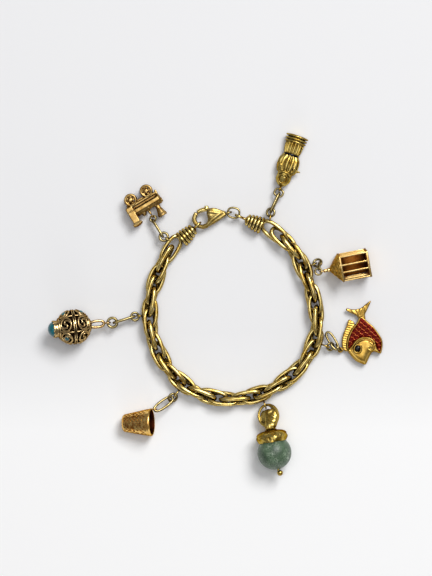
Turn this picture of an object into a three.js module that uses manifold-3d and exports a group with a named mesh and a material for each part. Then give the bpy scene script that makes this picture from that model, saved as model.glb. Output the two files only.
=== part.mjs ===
// A gold charm bracelet lying on a table: a closed loop of long twisted links between two
// ribbed end caps, a lobster clasp, and seven charms spread out round the loop.
// Units are millimetres and degrees, +Z is up, and the table is the plane Z = 0.

import * as THREE from 'three';
import { mergeVertices } from 'three/addons/utils/BufferGeometryUtils.js';
import Module from 'manifold-3d';

const wasm = await Module();
wasm.setup();

// ---------------------------------------------------------------- driving dimensions

const CHAIN = {
  links: 39, wire: 1.32, length: 11.3, width: 6.1, ovalness: 2.5,
  endInset: 4.6, height: 3.02,
};

// The chain's centre line, seen from above: its distance from the loop's centre at each bearing.
const LOOP_CENTRE = { x: 5.6, y: -1.5 };
const CHAIN_LINE = [
  { bearing: 127, radius: 29.75 },
  { bearing: 141, radius: 29.2 },
  { bearing: 155, radius: 28.5 },
  { bearing: 170, radius: 28.4 },
  { bearing: 185, radius: 28.85 },
  { bearing: 200, radius: 29.5 },
  { bearing: 220, radius: 30.45 },
  { bearing: 240, radius: 31.6 },
  { bearing: 260, radius: 31.9 },
  { bearing: 280, radius: 31.7 },
  { bearing: 300, radius: 31.4 },
  { bearing: 320, radius: 31.5 },
  { bearing: 340, radius: 31.0 },
  { bearing: 360, radius: 29.3 },
  { bearing: 380, radius: 28.25 },
  { bearing: 400, radius: 29.35 },
  { bearing: 417, radius: 30.3 },
  { bearing: 429.6, radius: 30.6 },
];

// How far each link is rolled about the chain's line. It is even between these links.
const ROLL_KNOTS = [
  { link: 0, roll: 22 },
  { link: 18, roll: 990 },
  { link: 38, roll: 2000 },
];

const CAP = {
  length: 6.0, ribRadius: 2.95, grooveRadius: 2.6, tipRadius: 1.5, ribs: 5, taper: 0.3,
  recessRadius: 2.2, recess: 0.5, loopRadius: 1.3, loopWire: 0.8, neckWidth: 0.9, neckInset: 0.4,
};
const CAP_LOOPS = {
  cap_left: { x: -6.45, y: 27.55 },
  cap_right: { x: 8.1, y: 30.6 },
};

// The clasp's own frame: origin at the middle of its hook, +X towards its eye.
const CLASP = {
  x: -4.8, y: 29.75, z: 3.0, heading: 13.1, holeRadius: 2.1, hookRadius: 2.78, hookWire: 1.5,
  hookFrom: 300, hookTo: 127, hookStep: 17.3, thickness: 2.7, bevel: 0.5, eyeAt: 9.27,
  eyeRadius: 1.05, eyeWire: 0.72, pinInset: 0.05,
  slot: { x: [0.5, 5.2], y: [0.75, 4.5], height: 1.6 },
  outline: [
    [1.0, -3.3], [3.2, -2.75], [5.6, -1.9], [8.6, -0.75], [8.6, 0.75], [6.4, 1.9], [4.8, 2.85],
    [3.2, 3.0], [2.0, 2.2], [1.0, 1.0],
  ],
};
const LEVER = {
  x: 4.0, y: 1.9, bossRadius: 1.0, boreRadius: 0.6, pinRadius: 0.4, thickness: 1.1, wire: 1.2,
  arm: [[-0.9, 2.62], [0.4, 2.95], [1.9, 2.85], [3.0, 2.4], [3.6, 2.05]],
  tab: { radius: 0.45, length: 1.3, x: 2.35, y: 3.4, heading: 10 },
  knob: { radius: 0.5, x: 2.48, y: 4.0 },
};
const CLASP_RING = { x: 6.15, y: 31.85, z: 3.0, heading: -8, length: 4.8, width: 4.2, wire: 0.72 };

// Oval rings and links that each charm hangs by, from the chain outwards. A roll of 90 stands
// a link on edge. The pieces of one hanger touch, and are one solid here.
const HANGERS = {
  locomotive_hanger: [
    { x: -18.3, y: 23.43, z: 3.78, length: 3.7, width: 3.7, wire: 0.8, roll: -8 },
    {
      x: -20.45, y: 26.44, z: 3.3, length: 7.9, width: 2.3, wire: 0.75,
      heading: 122, pitch: 8, roll: 95,
    },
    { x: -22.08, y: 29.8, z: 2.82, length: 2.6, width: 2.6, wire: 0.6, pitch: -5, roll: -3 },
  ],
  figure_hanger: [
    { x: 19.16, y: 31.95, z: 3.61, length: 3.5, width: 3.5, wire: 0.75, heading: -7, pitch: -19 },
    {
      x: 20.69, y: 35.43, z: 3.3, length: 8.2, width: 2.3, wire: 0.8,
      heading: 65, pitch: 10, roll: 75,
    },
    {
      x: 22.01, y: 38.91, z: 2.74, length: 3.24, width: 3.7, wire: 0.65,
      heading: 62, pitch: 4, roll: -10,
    },
  ],
  cage_hanger: [
    {
      x: 35.54, y: 14.32, z: 3.34, length: 3.6, width: 3.6, wire: 0.7,
      heading: 24, pitch: -3, roll: -36,
    },
    {
      x: 36.08, y: 13.21, z: 4.33, length: 3.8, width: 2.2, wire: 0.65,
      heading: -94, pitch: -41, roll: 78,
    },
    { x: 35.8, y: 11.28, z: 5.12, length: 2.9, width: 2.9, wire: 0.6, pitch: -6, roll: -5 },
  ],
  fish_hanger: [
    {
      x: 40.1, y: -15.01, z: 2.35, length: 3.3, width: 3.3, wire: 0.7,
      heading: 17, pitch: 25, roll: 21,
    },
    { x: 40.76, y: -13.03, z: 2.02, length: 7.6, width: 2.9, wire: 0.7, heading: -59, pitch: -8 },
    {
      x: 42.87, y: -15.37, z: 1.96, length: 3.0, width: 3.0, wire: 0.55,
      heading: 124, pitch: 14, roll: 80,
    },
  ],
  thimble_hanger: [
    {
      x: -15.16, y: -32.89, z: 2.99, length: 3.7, width: 3.7, wire: 0.75,
      heading: 17, pitch: 15, roll: 29,
    },
    {
      x: -18.35, y: -35.08, z: 4.03, length: 8.7, width: 3.3, wire: 0.8,
      heading: 215, pitch: -19, roll: 12,
    },
  ],
  fob_hanger: [
    { x: -28.41, y: -4.5, z: 2.75, length: 3.4, width: 3.4, wire: 0.7, heading: 13, pitch: 13 },
    {
      x: -32.18, y: -5.54, z: 3.57, length: 8.5, width: 2.3, wire: 0.8,
      heading: 197.5, pitch: -11, roll: 87,
    },
    { x: -36.27, y: -6.61, z: 4.12, length: 4.1, width: 4.1, wire: 0.85 },
  ],
};
// An upright eye is soldered to the outer side of each link that a charm hangs from.
const EYE_WIRE = 0.56;
const CHAIN_EYES = [
  { link: 0, x: -17.03, y: 22.56, z: 3.88, radius: 0.87, heading: 142 },
  { link: 6, x: -26.93, y: -4.27, z: 2.4, radius: 0.94, heading: 180 },
  { link: 13, x: -13.81, y: -31.38, z: 3.07, radius: 1.36, heading: -129.5 },
  { link: 20, x: 17.11, y: -35.4, z: 3.47, radius: 1.3, heading: -72 },
  { link: 27, x: 38.39, y: -14.74, z: 3.2, radius: 1.46, heading: -19 },
  { link: 34, x: 34.14, y: 13.78, z: 2.94, radius: 1.17, heading: 24.6 },
  { link: 38, x: 18.97, y: 30.13, z: 3.69, radius: 1.23, heading: 82.7 },
];

// Each charm lies in its own frame, whose +X points away from the chain.
const CHARM_PLACES = {
  locomotive: { x: -28.07, y: 32.24, z: 2.72, heading: 30.8 },
  figure: { x: 22.6, y: 40.85, z: 2.62, heading: 71.5 },
  cage: { x: 39.5, y: 11.8, z: 5.3, heading: 10.9, roll: 8 },
  fish: { x: 51.2, y: -4.6, z: 1.6, heading: -76.5 },
  bead: { x: 20.4, y: -52.0, z: 5.95, heading: -76.8, pitch: -2.5 },
  thimble: { x: -32.756, y: -41.9, z: 2.879, heading: 2.5, pitch: -11.5 },
  fob: { x: -49.8, y: -8.1, z: 6.25, heading: 186.8, pitch: -10 },
};

// The upright eye of the flat charms.
const CHARM_EYE = { radius: 0.72, wire: 0.56 };

// The locomotive lies on its side. +Y is towards its wheels, and an inset is from its gauge.
const LOCOMOTIVE = {
  gauge: 5.4, fittingsY: -1.6, eyeX: 4.1, eyeY: -4.2,
  boiler: { radius: 1.9, length: 9.8 },
  door: { radius: 0.8, length: 0.9, x: 10.1, y: -0.5 },
  wheels: { radius: 2.3, thickness: 0.8, axleRadius: 0.5, axleInset: 0.2, xs: [0.5, 6.8], y: 4.35 },
  slabs: {
    footboard: { x: [-2.6, 9.4], y: [1.7, 2.6], inset: 0.5 },
    bufferBeam: { x: [9.2, 9.9], y: [1.5, 3.1], inset: 0.4 },
    cab: { x: [-2.8, -0.35], y: [-4.1, 2.4], inset: 0.3 },
    cabRoof: { x: [-3.2, 0.2], y: [-4.9, -4.0], inset: 0.1 },
  },
  fittings: {
    chimney: { x: 7.5, profile: [[0, 0], [0.85, 0], [0.75, 1.6], [1.4, 3.9], [1.4, 4.6], [0, 4.6]] },
    dome: { x: 2.2, profile: [[0, 0], [0.9, 0], [0.9, 0.8], [0.5, 1.3], [0, 1.4]] },
    stem: { x: 4.1, profile: [[0, 0], [0.6, 0], [0.5, 1.8], [0, 1.9]] },
  },
};

// Profiles are given as radius and distance along the charm.
const FIGURE = {
  flatness: 0.7, eyeX: -0.7,
  spike: { radius: 0.45, length: 2.6, x: 7.0, y: -3.7 },
  stem: { x: [-0.3, 0.6], half: 0.4 },
  profile: [
    [0, 0.1], [0.7, 0.2], [1.7, 1.4], [2.7, 3.2], [2.75, 4.3], [2.4, 5.1], [3.0, 6.2], [3.6, 8.0],
    [3.65, 9.8], [3.2, 11.0], [2.5, 11.8], [2.5, 12.2], [2.75, 12.6], [2.95, 15.6], [2.95, 16.3],
    [3.6, 16.8], [3.65, 19.0], [3.2, 19.2], [2.7, 18.4], [0, 18.4],
  ],
};
const CAGE = {
  roof: 4.0, roofTip: 0.35, end: 14.2, half: 4.55, wall: 0.75, overhang: 0.1, boxInset: 0.2,
  eave: 0.6, plate: 0.7, slot: 1.75, slotGap: 2.55, slotFrom: 5.0, slotTo: 12.9,
  stem: { radius: 0.7, length: 2.2, x: -0.75 }, eyeX: -2.6,
};
const FISH = {
  thickness: 3.2, edge: 0.75, finThickness: 1.1, finEdge: 0.2,
  body: [
    [0, -0.9], [3, -3.0], [6, -5.4], [8.2, -6.9], [10.2, -7.4], [12.4, -6.5], [14.6, -4.5],
    [16.3, -2.3], [14.2, -0.6], [11.8, 0.3], [13.0, 1.8], [13.8, 3.3], [12.6, 4.7], [10.6, 5.0],
    [7, 4.4], [3, 2.7], [0, 0.9],
  ],
  tail: [[0.8, -0.9], [0.8, 0.9], [-1.2, 1.8], [-4.8, 4.4], [-3.0, 0.6], [-3.9, -4.7], [-1.0, -2.0]],
  fin: [[0, -4.8], [1.6, -2.2], [6, -5.0], [10.0, -7.0], [10.4, -8.6], [8, -8.9], [4, -7.2]],
  stem: { x: [9.2, 9.9], y: [-9.6, -8.0], half: 0.35 },
  eye: { x: 9.55, y: -10.1 },
};
const BEAD = { radius: 5.95, bore: 0.75, pin: 0.42, gap: 0.3, pinBall: 1.05, pinEnd: 0.55 };
const BEAD_CAP = {
  outer: [[0, -8.6], [1.7, -8.6], [2.9, -7.9], [4.7, -7.3], [5.7, -6.0], [5.6, -4.7]],
  seatRadii: [4.9, 3.4, 1.8, 0],
};
// The bail is a thick oval whose top narrows to a wire, and it droops from the neck of the cap.
// Cap and bail lean a little to one side about the bead's middle.
const BAIL = {
  neck: -8.6, reach: 4.6, halfLength: 3.75, halfWidth: 2.45, wire: 2.9, topWire: 0.9,
  topInset: 0.6, openAngle: 140, step: 20, pitch: -12.2, roll: 12, lean: -4,
};
const THIMBLE = {
  length: 10.5, tipRadius: 3.1, mouthRadius: 4.7, bandRadius: 4.85, bandLength: 1.2, wall: 0.5,
  tipLength: 0.9, crownRadius: 1.86, crownRise: 0.12, eyeRadius: 0.8, eyeWire: 0.5,
  eyeReach: 1.15, eyeInset: 0.25, tabWidth: 0.6,
};
const FOB = {
  radius: 6.25, wall: 0.7, windowRadius: 1.55, windows: 6, windowTilt: 27,
  collar: { from: 4.9, radius: 3.0 },
  link: { length: 5.8, width: 3.15, wire: 1.0, x: -8.4 },
  eye: { radius: 0.95, wire: 0.6, x: -12.05 },
};
const FOB_STONE = { radius: 2.7, base: 6.75, height: 2.2, girdle: 0.3, steps: [15, 35, 55, 75] };

// ---------------------------------------------------------------- materials

const metal = (color, roughness) => new THREE.MeshStandardMaterial({ color, roughness, metalness: 1 });
const MATERIALS = {
  chain: () => metal('#c9ac4f', 0.28),
  charm: () => metal('#c58f3c', 0.35),
  ring: () => metal('#b59a5a', 0.3),
  jade: () => new THREE.MeshStandardMaterial({ color: '#7d9d84', roughness: 0.3 }),
  turquoise: () => new THREE.MeshStandardMaterial({ color: '#1f8fa0', roughness: 0.4 }),
};

// ---------------------------------------------------------------- shaping helpers

const radians = THREE.MathUtils.degToRad;
const MERGE = 1e-4;
const WIRE_SIDES = 6;

const onCircle = (radius, angle) => [
  radius * Math.cos(radians(angle)),
  radius * Math.sin(radians(angle)),
];

// A turn by roll, pitch and heading, in that order, and then a move.
function matrixOf({ x = 0, y = 0, z = 0, heading = 0, pitch = 0, roll = 0 }) {
  const turn = new THREE.Euler(radians(roll), radians(pitch), radians(heading), 'ZYX');
  return new THREE.Matrix4().makeRotationFromEuler(turn).setPosition(x, y, z);
}
const placed = (geometry, place) => geometry.clone().applyMatrix4(matrixOf(place));

function toSolid(geometry) {
  const bare = geometry.clone();
  bare.deleteAttribute('normal');
  bare.deleteAttribute('uv');
  const merged = mergeVertices(bare, MERGE);
  const index = merged.index.array;
  const kept = [];
  for (let i = 0; i < index.length; i += 3) {
    const [a, b, c] = [index[i], index[i + 1], index[i + 2]];
    if (a !== b && b !== c && c !== a) kept.push(a, b, c);
  }
  const mesh = { numProp: 3, vertProperties: merged.attributes.position.array };
  return new wasm.Manifold(new wasm.Mesh({ ...mesh, triVerts: new Uint32Array(kept) }));
}

function toGeometry(solid) {
  const { vertProperties, triVerts } = solid.getMesh();
  const geometry = new THREE.BufferGeometry();
  geometry.setAttribute('position', new THREE.BufferAttribute(vertProperties, 3));
  geometry.setIndex(new THREE.BufferAttribute(triVerts, 1));
  geometry.computeVertexNormals();
  return geometry;
}

function joined(geometries, holes = []) {
  let solid = toSolid(geometries[0]);
  for (const geometry of geometries.slice(1)) solid = solid.add(toSolid(geometry));
  for (const hole of holes) solid = solid.subtract(toSolid(hole));
  return toGeometry(solid);
}

function node(name, geometry, material) {
  const mesh = new THREE.Mesh(geometry, MATERIALS[material]());
  mesh.name = name;
  return mesh;
}

// A round profile about the X axis, given as radius and distance along X.
function turnedAlongX(profile, segments) {
  const points = profile.map(([radius, along]) => new THREE.Vector2(radius, along));
  return new THREE.LatheGeometry(points, segments).rotateZ(-Math.PI / 2);
}

// A cylinder between two heights on the Z axis, or turned by the place it is given.
function rod(radius, length, segments, place) {
  const geometry = new THREE.CylinderGeometry(radius, radius, length, segments).rotateX(Math.PI / 2);
  return placed(geometry, place);
}

function box([x0, x1], [y0, y1], [z0, z1]) {
  const geometry = new THREE.BoxGeometry(x1 - x0, y1 - y0, z1 - z0);
  return geometry.translate((x0 + x1) / 2, (y0 + y1) / 2, (z0 + z1) / 2);
}

class OvalCurve extends THREE.Curve {
  constructor(halfLength, halfWidth) {
    super();
    this.halfLength = halfLength;
    this.halfWidth = halfWidth;
  }

  getPoint(t, target = new THREE.Vector3()) {
    const angle = 2 * Math.PI * t;
    const bend = (value) => Math.sign(value) * Math.abs(value) ** (2 / CHAIN.ovalness);
    return target.set(this.halfLength * bend(Math.cos(angle)), this.halfWidth * bend(Math.sin(angle)), 0);
  }
}

// A closed wire of oval or round outline, flat in XY before it is placed.
function ovalWire({ length, width, wire, steps = 12, ...place }) {
  if (length === width) {
    return placed(new THREE.TorusGeometry((length - wire) / 2, wire / 2, WIRE_SIDES, steps), place);
  }
  const curve = new OvalCurve((length - wire) / 2, (width - wire) / 2);
  return placed(new THREE.TubeGeometry(curve, steps, wire / 2, WIRE_SIDES, true), place);
}

const flatRing = (radius, wire, place) => placed(
  new THREE.TorusGeometry(radius, wire / 2, WIRE_SIDES, 12), place);
const uprightRing = (radius, wire, place) => placed(
  new THREE.TorusGeometry(radius, wire / 2, WIRE_SIDES, 10).rotateX(Math.PI / 2), place);

function bentWire(points, wire, steps) {
  const path = new THREE.CatmullRomCurve3(points.map(([x, y, z = 0]) => new THREE.Vector3(x, y, z)));
  const section = new THREE.Shape().absarc(0, 0, wire / 2, 0, 2 * Math.PI);
  return new THREE.ExtrudeGeometry(section, { steps, extrudePath: path, curveSegments: 4 });
}

// ---------------------------------------------------------------- chain

const CURVE_DIVISIONS = 2000;
const chainPoints = CHAIN_LINE.map(({ bearing, radius }) => new THREE.Vector3(
  LOOP_CENTRE.x + radius * Math.cos(radians(bearing)),
  LOOP_CENTRE.y + radius * Math.sin(radians(bearing)),
  CHAIN.height,
));
const chainCurve = new THREE.CatmullRomCurve3(chainPoints);
chainCurve.arcLengthDivisions = CURVE_DIVISIONS;

function rollOf(link) {
  const after = Math.max(1, ROLL_KNOTS.findIndex((knot) => knot.link >= link));
  const [from, to] = [ROLL_KNOTS[after - 1], ROLL_KNOTS[after]];
  return from.roll + (to.roll - from.roll) * (link - from.link) / (to.link - from.link);
}

function linkFrames() {
  const length = chainCurve.getLength();
  const pitch = (length - 2 * CHAIN.endInset) / (CHAIN.links - 1);
  const centres = [];
  for (let i = 0; i < CHAIN.links; i += 1) {
    centres.push(chainCurve.getPointAt((CHAIN.endInset + pitch * i) / length));
  }
  return centres.map((centre, i) => {
    const before = centres[Math.max(0, i - 1)];
    const after = centres[Math.min(CHAIN.links - 1, i + 1)];
    const heading = Math.atan2(after.y - before.y, after.x - before.x);
    return { centre, heading, roll: radians(rollOf(i)) };
  });
}
const LINKS = linkFrames();

// The direction away from the loop's middle, square to a link.
const outwardOf = (link) => new THREE.Vector3(Math.sin(link.heading), -Math.cos(link.heading), 0);

function linkGeometry(link) {
  const { length, width, wire } = CHAIN;
  const along = new THREE.Vector3(Math.cos(link.heading), Math.sin(link.heading), 0);
  const across = outwardOf(link).multiplyScalar(Math.cos(link.roll));
  across.z = Math.sin(link.roll);
  const normal = new THREE.Vector3().crossVectors(along, across);
  const matrix = new THREE.Matrix4().makeBasis(along, across, normal).setPosition(link.centre);
  return ovalWire({ length, width, wire, steps: 14 }).applyMatrix4(matrix);
}

// A link, with its eye if it carries one.
function linkSolids(index) {
  const eyes = CHAIN_EYES.filter((eye) => eye.link === index);
  return [linkGeometry(LINKS[index]), ...eyes.map((eye) => uprightRing(eye.radius, EYE_WIRE, eye))];
}

// ---------------------------------------------------------------- end caps

// A cap is ribbed, narrows to its loop, and is hollowed a little where the end link enters.
function capGeometry(face, loop, endLink) {
  const way = new THREE.Vector2(loop.x - face.x, loop.y - face.y);
  const profile = [[0, CAP.recess], [CAP.recessRadius, CAP.recess], [CAP.recessRadius, 0]];
  const ribPitch = CAP.length / CAP.ribs;
  for (let rib = 0; rib < CAP.ribs; rib += 1) {
    const taper = 1 - CAP.taper * (rib / (CAP.ribs - 1)) ** 2;
    const start = rib * ribPitch;
    profile.push([CAP.grooveRadius * taper, start]);
    profile.push([CAP.ribRadius * taper, start + 0.3 * ribPitch]);
    profile.push([CAP.ribRadius * taper, start + 0.75 * ribPitch]);
  }
  profile.push([CAP.tipRadius, CAP.length], [0, CAP.length]);
  const place = {
    x: face.x, y: face.y, z: CHAIN.height,
    heading: THREE.MathUtils.radToDeg(way.angle()),
  };
  const neckEnd = way.length() - CAP.loopRadius;
  const neckSpan = [-CAP.neckWidth / 2, CAP.neckWidth / 2];
  return joined([
    placed(turnedAlongX(profile, 16), place),
    placed(box([CAP.length - CAP.neckInset, neckEnd], neckSpan, neckSpan), place),
    uprightRing(CAP.loopRadius, CAP.loopWire, { ...place, x: loop.x, y: loop.y }),
    ...linkSolids(endLink),
  ]);
}

function chainNodes() {
  const group = new THREE.Group();
  const last = CHAIN.links - 1;
  const leftCap = capGeometry(chainCurve.getPoint(0), CAP_LOOPS.cap_left, 0);
  const rightCap = capGeometry(chainCurve.getPoint(1), CAP_LOOPS.cap_right, last);
  group.add(node('cap_left', leftCap, 'chain'), node('cap_right', rightCap, 'chain'));
  for (let i = 1; i < last; i += 1) {
    group.add(node(`link_${String(i).padStart(2, '0')}`, joined(linkSolids(i)), 'chain'));
  }
  return group;
}

// ---------------------------------------------------------------- lobster clasp

function claspBody() {
  const { thickness, bevel, slot, eyeAt, eyeRadius, eyeWire } = CLASP;
  const hookPoints = [];
  for (let angle = CLASP.hookFrom; angle >= CLASP.hookTo; angle -= CLASP.hookStep) {
    hookPoints.push(onCircle(CLASP.hookRadius, angle));
  }
  const outline = new THREE.Shape(CLASP.outline.map(([x, y]) => new THREE.Vector2(x, y)));
  const plate = new THREE.ExtrudeGeometry(outline, {
    depth: thickness - 2 * bevel, bevelThickness: bevel, bevelSize: bevel, bevelOffset: -bevel,
    bevelSegments: 1,
  }).translate(0, 0, bevel - thickness / 2);
  const hollows = [
    rod(CLASP.holeRadius, thickness + 1, 20, {}),
    box(slot.x, slot.y, [-slot.height / 2, slot.height / 2]),
    rod(eyeRadius - eyeWire / 2, thickness + 1, 12, { x: eyeAt, roll: 90 }),
  ];
  return joined([
    joined([plate], hollows),
    bentWire(hookPoints, CLASP.hookWire, 18),
    uprightRing(eyeRadius, eyeWire, { x: eyeAt }),
    rod(LEVER.pinRadius, thickness - 2 * CLASP.pinInset, 10, { x: LEVER.x, y: LEVER.y }),
  ]);
}

function claspLever() {
  const { x, y, thickness, tab, knob } = LEVER;
  return joined([
    bentWire(LEVER.arm, LEVER.wire, 8),
    rod(LEVER.bossRadius, thickness, 14, { x, y }),
    rod(tab.radius, tab.length, 10, { x: tab.x, y: tab.y, heading: tab.heading, roll: 90 }),
    placed(new THREE.SphereGeometry(knob.radius, 10, 8), { x: knob.x, y: knob.y }),
  ], [rod(LEVER.boreRadius, thickness + 1, 12, { x, y })]);
}

function claspNodes() {
  const group = new THREE.Group();
  const clasp = new THREE.Group();
  clasp.position.set(CLASP.x, CLASP.y, CLASP.z);
  clasp.rotation.z = radians(CLASP.heading);
  clasp.add(node('clasp_body', claspBody(), 'chain'), node('clasp_lever', claspLever(), 'chain'));
  group.add(clasp, node('clasp_ring', ovalWire(CLASP_RING), 'ring'));
  return group;
}

// ---------------------------------------------------------------- charms

function locomotiveGeometry() {
  const { gauge, boiler, door, wheels, slabs, fittings, fittingsY } = LOCOMOTIVE;
  const half = gauge / 2;
  const slab = ({ x, y, inset }) => box(x, y, [inset - half, half - inset]);
  const fitting = ({ x, profile }) =>
    placed(turnedAlongX(profile, 10), { x, y: fittingsY, heading: -90 });
  const eye = new THREE.TorusGeometry(CHARM_EYE.radius, CHARM_EYE.wire / 2, WIRE_SIDES, 12);
  const parts = [
    rod(boiler.radius, boiler.length, 14, { x: boiler.length / 2, pitch: 90 }),
    rod(door.radius, door.length, 12, { x: door.x, y: door.y, pitch: 90 }),
    ...Object.values(slabs).map(slab),
    ...Object.values(fittings).map(fitting),
    placed(eye.rotateY(Math.PI / 2), { x: LOCOMOTIVE.eyeX, y: LOCOMOTIVE.eyeY }),
  ];
  for (const x of wheels.xs) {
    parts.push(rod(wheels.axleRadius, gauge - 2 * wheels.axleInset, 10, { x, y: wheels.y }));
    for (const side of [-1, 1]) {
      const z = side * (half - wheels.thickness / 2);
      parts.push(rod(wheels.radius, wheels.thickness, 14, { x, y: wheels.y, z }));
    }
  }
  return joined(parts);
}

function figureGeometry() {
  const { profile, flatness, spike, stem, eyeX } = FIGURE;
  const stemSpan = [-stem.half, stem.half];
  return joined([
    turnedAlongX(profile, 16).scale(1, 1, flatness),
    rod(spike.radius, spike.length, 8, { x: spike.x, y: spike.y, roll: 90 }),
    box(stem.x, stemSpan, stemSpan),
    uprightRing(CHARM_EYE.radius, CHARM_EYE.wire, { x: eyeX }),
  ]);
}

function cageGeometry() {
  const { roof, end, half, wall, overhang, boxInset, plate, slot, slotGap, stem } = CAGE;
  const roofHalf = half + overhang + 0.05;
  const pyramid = new THREE.CylinderGeometry(CAGE.roofTip, roofHalf * Math.SQRT2, roof, 4);
  pyramid.rotateY(Math.PI / 4).rotateZ(Math.PI / 2).translate(roof / 2, 0, 0);
  const plateSpan = [-half - overhang, half + overhang];
  const boxSpan = [boxInset - half, half - boxInset];
  const innerSpan = [wall - half, half - wall];
  const parts = [
    pyramid,
    box([roof - overhang, end], boxSpan, boxSpan),
    box([roof - overhang, roof - overhang + CAGE.eave], plateSpan, plateSpan),
    box([end - plate, end], plateSpan, plateSpan),
    rod(stem.radius, stem.length, 10, { x: stem.x, pitch: 90 }),
    uprightRing(CHARM_EYE.radius, CHARM_EYE.wire, { x: CAGE.eyeX }),
  ];
  const holes = [box([roof + plate, end - plate], innerSpan, innerSpan)];
  for (const row of [-1, 0, 1]) {
    const slotLength = [CAGE.slotFrom, CAGE.slotTo];
    const slotSpan = [row * slotGap - slot / 2, row * slotGap + slot / 2];
    holes.push(box(slotLength, slotSpan, [0, half + 1]));
    holes.push(box(slotLength, [-half - 1, half + 1], slotSpan));
  }
  return joined(parts, holes);
}

// A cushion-sided plate: the outline is its widest section.
function pillow(outline, thickness, inset) {
  const shape = new THREE.Shape(outline.map(([x, y]) => new THREE.Vector2(x, y)));
  const bevel = 0.3 * thickness;
  return new THREE.ExtrudeGeometry(shape, {
    depth: thickness - 2 * bevel, bevelThickness: bevel, bevelSize: inset, bevelOffset: -inset,
    bevelSegments: 2,
  }).translate(0, 0, bevel - thickness / 2);
}

function fishGeometry() {
  const { stem, eye } = FISH;
  return joined([
    pillow(FISH.body, FISH.thickness, FISH.edge),
    pillow(FISH.tail, FISH.finThickness, FISH.finEdge),
    pillow(FISH.fin, FISH.finThickness, FISH.finEdge),
    box(stem.x, stem.y, [-stem.half, stem.half]),
    flatRing(CHARM_EYE.radius, CHARM_EYE.wire, eye),
  ]);
}

function beadGeometry() {
  const ball = new THREE.SphereGeometry(BEAD.radius, 20, 12);
  return joined([ball], [rod(BEAD.bore, 2 * BEAD.radius + 1, 10, { pitch: 90 })]);
}

// The bead's cap, its bail and the pin through the bead, which ends in a ball.
function beadBailGeometry() {
  const seat = BEAD.radius + BEAD.gap;
  const seatProfile = BEAD_CAP.seatRadii.map((radius) => [radius, -Math.sqrt(seat ** 2 - radius ** 2)]);
  const cap = turnedAlongX([...BEAD_CAP.outer, ...seatProfile], 18);
  const thick = [];
  for (let angle = -BAIL.openAngle; angle <= BAIL.openAngle; angle += BAIL.step) {
    const [x, y] = onCircle(1, angle);
    thick.push([x * (BAIL.halfLength - 0.5) - BAIL.reach, y * BAIL.halfWidth]);
  }
  const topLine = new OvalCurve(BAIL.halfLength, BAIL.halfWidth - BAIL.topInset);
  const top = new THREE.TubeGeometry(topLine, 14, BAIL.topWire / 2, WIRE_SIDES, true);
  const bail = [bentWire(thick, BAIL.wire, 14), top.translate(-BAIL.reach, 0, 0)]
    .map((geometry) => placed(geometry, { x: BAIL.neck, pitch: BAIL.pitch, roll: BAIL.roll }));
  const leaning = [cap, ...bail].map((geometry) => placed(geometry, { heading: BAIL.lean }));
  const pin = rod(BEAD.pin, 2 * (seat + BEAD.pinEnd), 10, { pitch: 90 });
  const pinBall = new THREE.SphereGeometry(BEAD.pinBall, 10, 7);
  return joined([...leaning, pin, placed(pinBall, { x: seat + BEAD.pinBall, y: 0.3 })]);
}

function thimbleGeometry() {
  const { length, tipRadius, tipLength, mouthRadius, bandRadius, bandLength, wall } = THIMBLE;
  const profile = [
    [0, 0], [THIMBLE.crownRadius, THIMBLE.crownRise], [tipRadius, tipLength],
    [mouthRadius, length - bandLength - 0.2], [bandRadius, length - bandLength],
    [bandRadius, length], [bandRadius - wall, length], [mouthRadius - wall, length - bandLength],
    [tipRadius - wall, tipLength + 0.3], [0, tipLength],
  ];
  const eyePlace = { x: length + THIMBLE.eyeReach, y: bandRadius - THIMBLE.eyeInset };
  const tabSpan = [-THIMBLE.tabWidth / 2, THIMBLE.tabWidth / 2];
  return joined([
    turnedAlongX(profile, 22),
    uprightRing(THIMBLE.eyeRadius, THIMBLE.eyeWire, eyePlace),
    box([length - 0.3, length + 0.4], [bandRadius - wall, bandRadius], tabSpan),
  ]);
}

function fobGeometry() {
  const { radius, wall, collar, link, eye, windows, windowTilt, windowRadius } = FOB;
  const outer = new THREE.SphereGeometry(radius, 14, 9).rotateZ(Math.PI / 2);
  const inner = new THREE.SphereGeometry(radius - wall, 10, 6).rotateZ(Math.PI / 2);
  const collarEnd = FOB_STONE.base - 0.3;
  const collarProfile = [
    [0, collar.from], [collar.radius, collar.from], [collar.radius, collarEnd], [0, collarEnd],
  ];
  const parts = [
    outer,
    turnedAlongX(collarProfile, 16),
    ovalWire(link),
    uprightRing(eye.radius, eye.wire, { x: eye.x }),
  ];
  const holes = [inner];
  for (let i = 0; i < windows; i += 1) {
    for (const side of [-1, 1]) {
      const window = new THREE.CylinderGeometry(windowRadius, windowRadius, 4, 6);
      window.translate(0, radius, 0).rotateZ(radians(side * windowTilt));
      holes.push(window.rotateX(radians(i * 360 / windows + 90)));
    }
  }
  return joined(parts, holes);
}

function fobStoneGeometry() {
  const { radius, base, height, girdle, steps } = FOB_STONE;
  const domeProfile = steps.map((angle) => {
    const [across, up] = onCircle(1, angle);
    return [radius * across, base + girdle + (height - girdle) * up];
  });
  return turnedAlongX([[0, base], [radius, base], ...domeProfile, [0, base + height]], 16);
}

function charmGroup(name, meshes) {
  const { x, y, z, heading = 0, pitch = 0, roll = 0 } = CHARM_PLACES[name];
  const group = new THREE.Group();
  group.position.set(x, y, z);
  group.rotation.set(radians(roll), radians(pitch), radians(heading), 'ZYX');
  group.add(...meshes);
  return group;
}

function hangerNodes() {
  const group = new THREE.Group();
  for (const [name, rows] of Object.entries(HANGERS)) {
    group.add(node(name, joined(rows.map(ovalWire)), 'ring'));
  }
  return group;
}

// ---------------------------------------------------------------- bracelet

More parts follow.
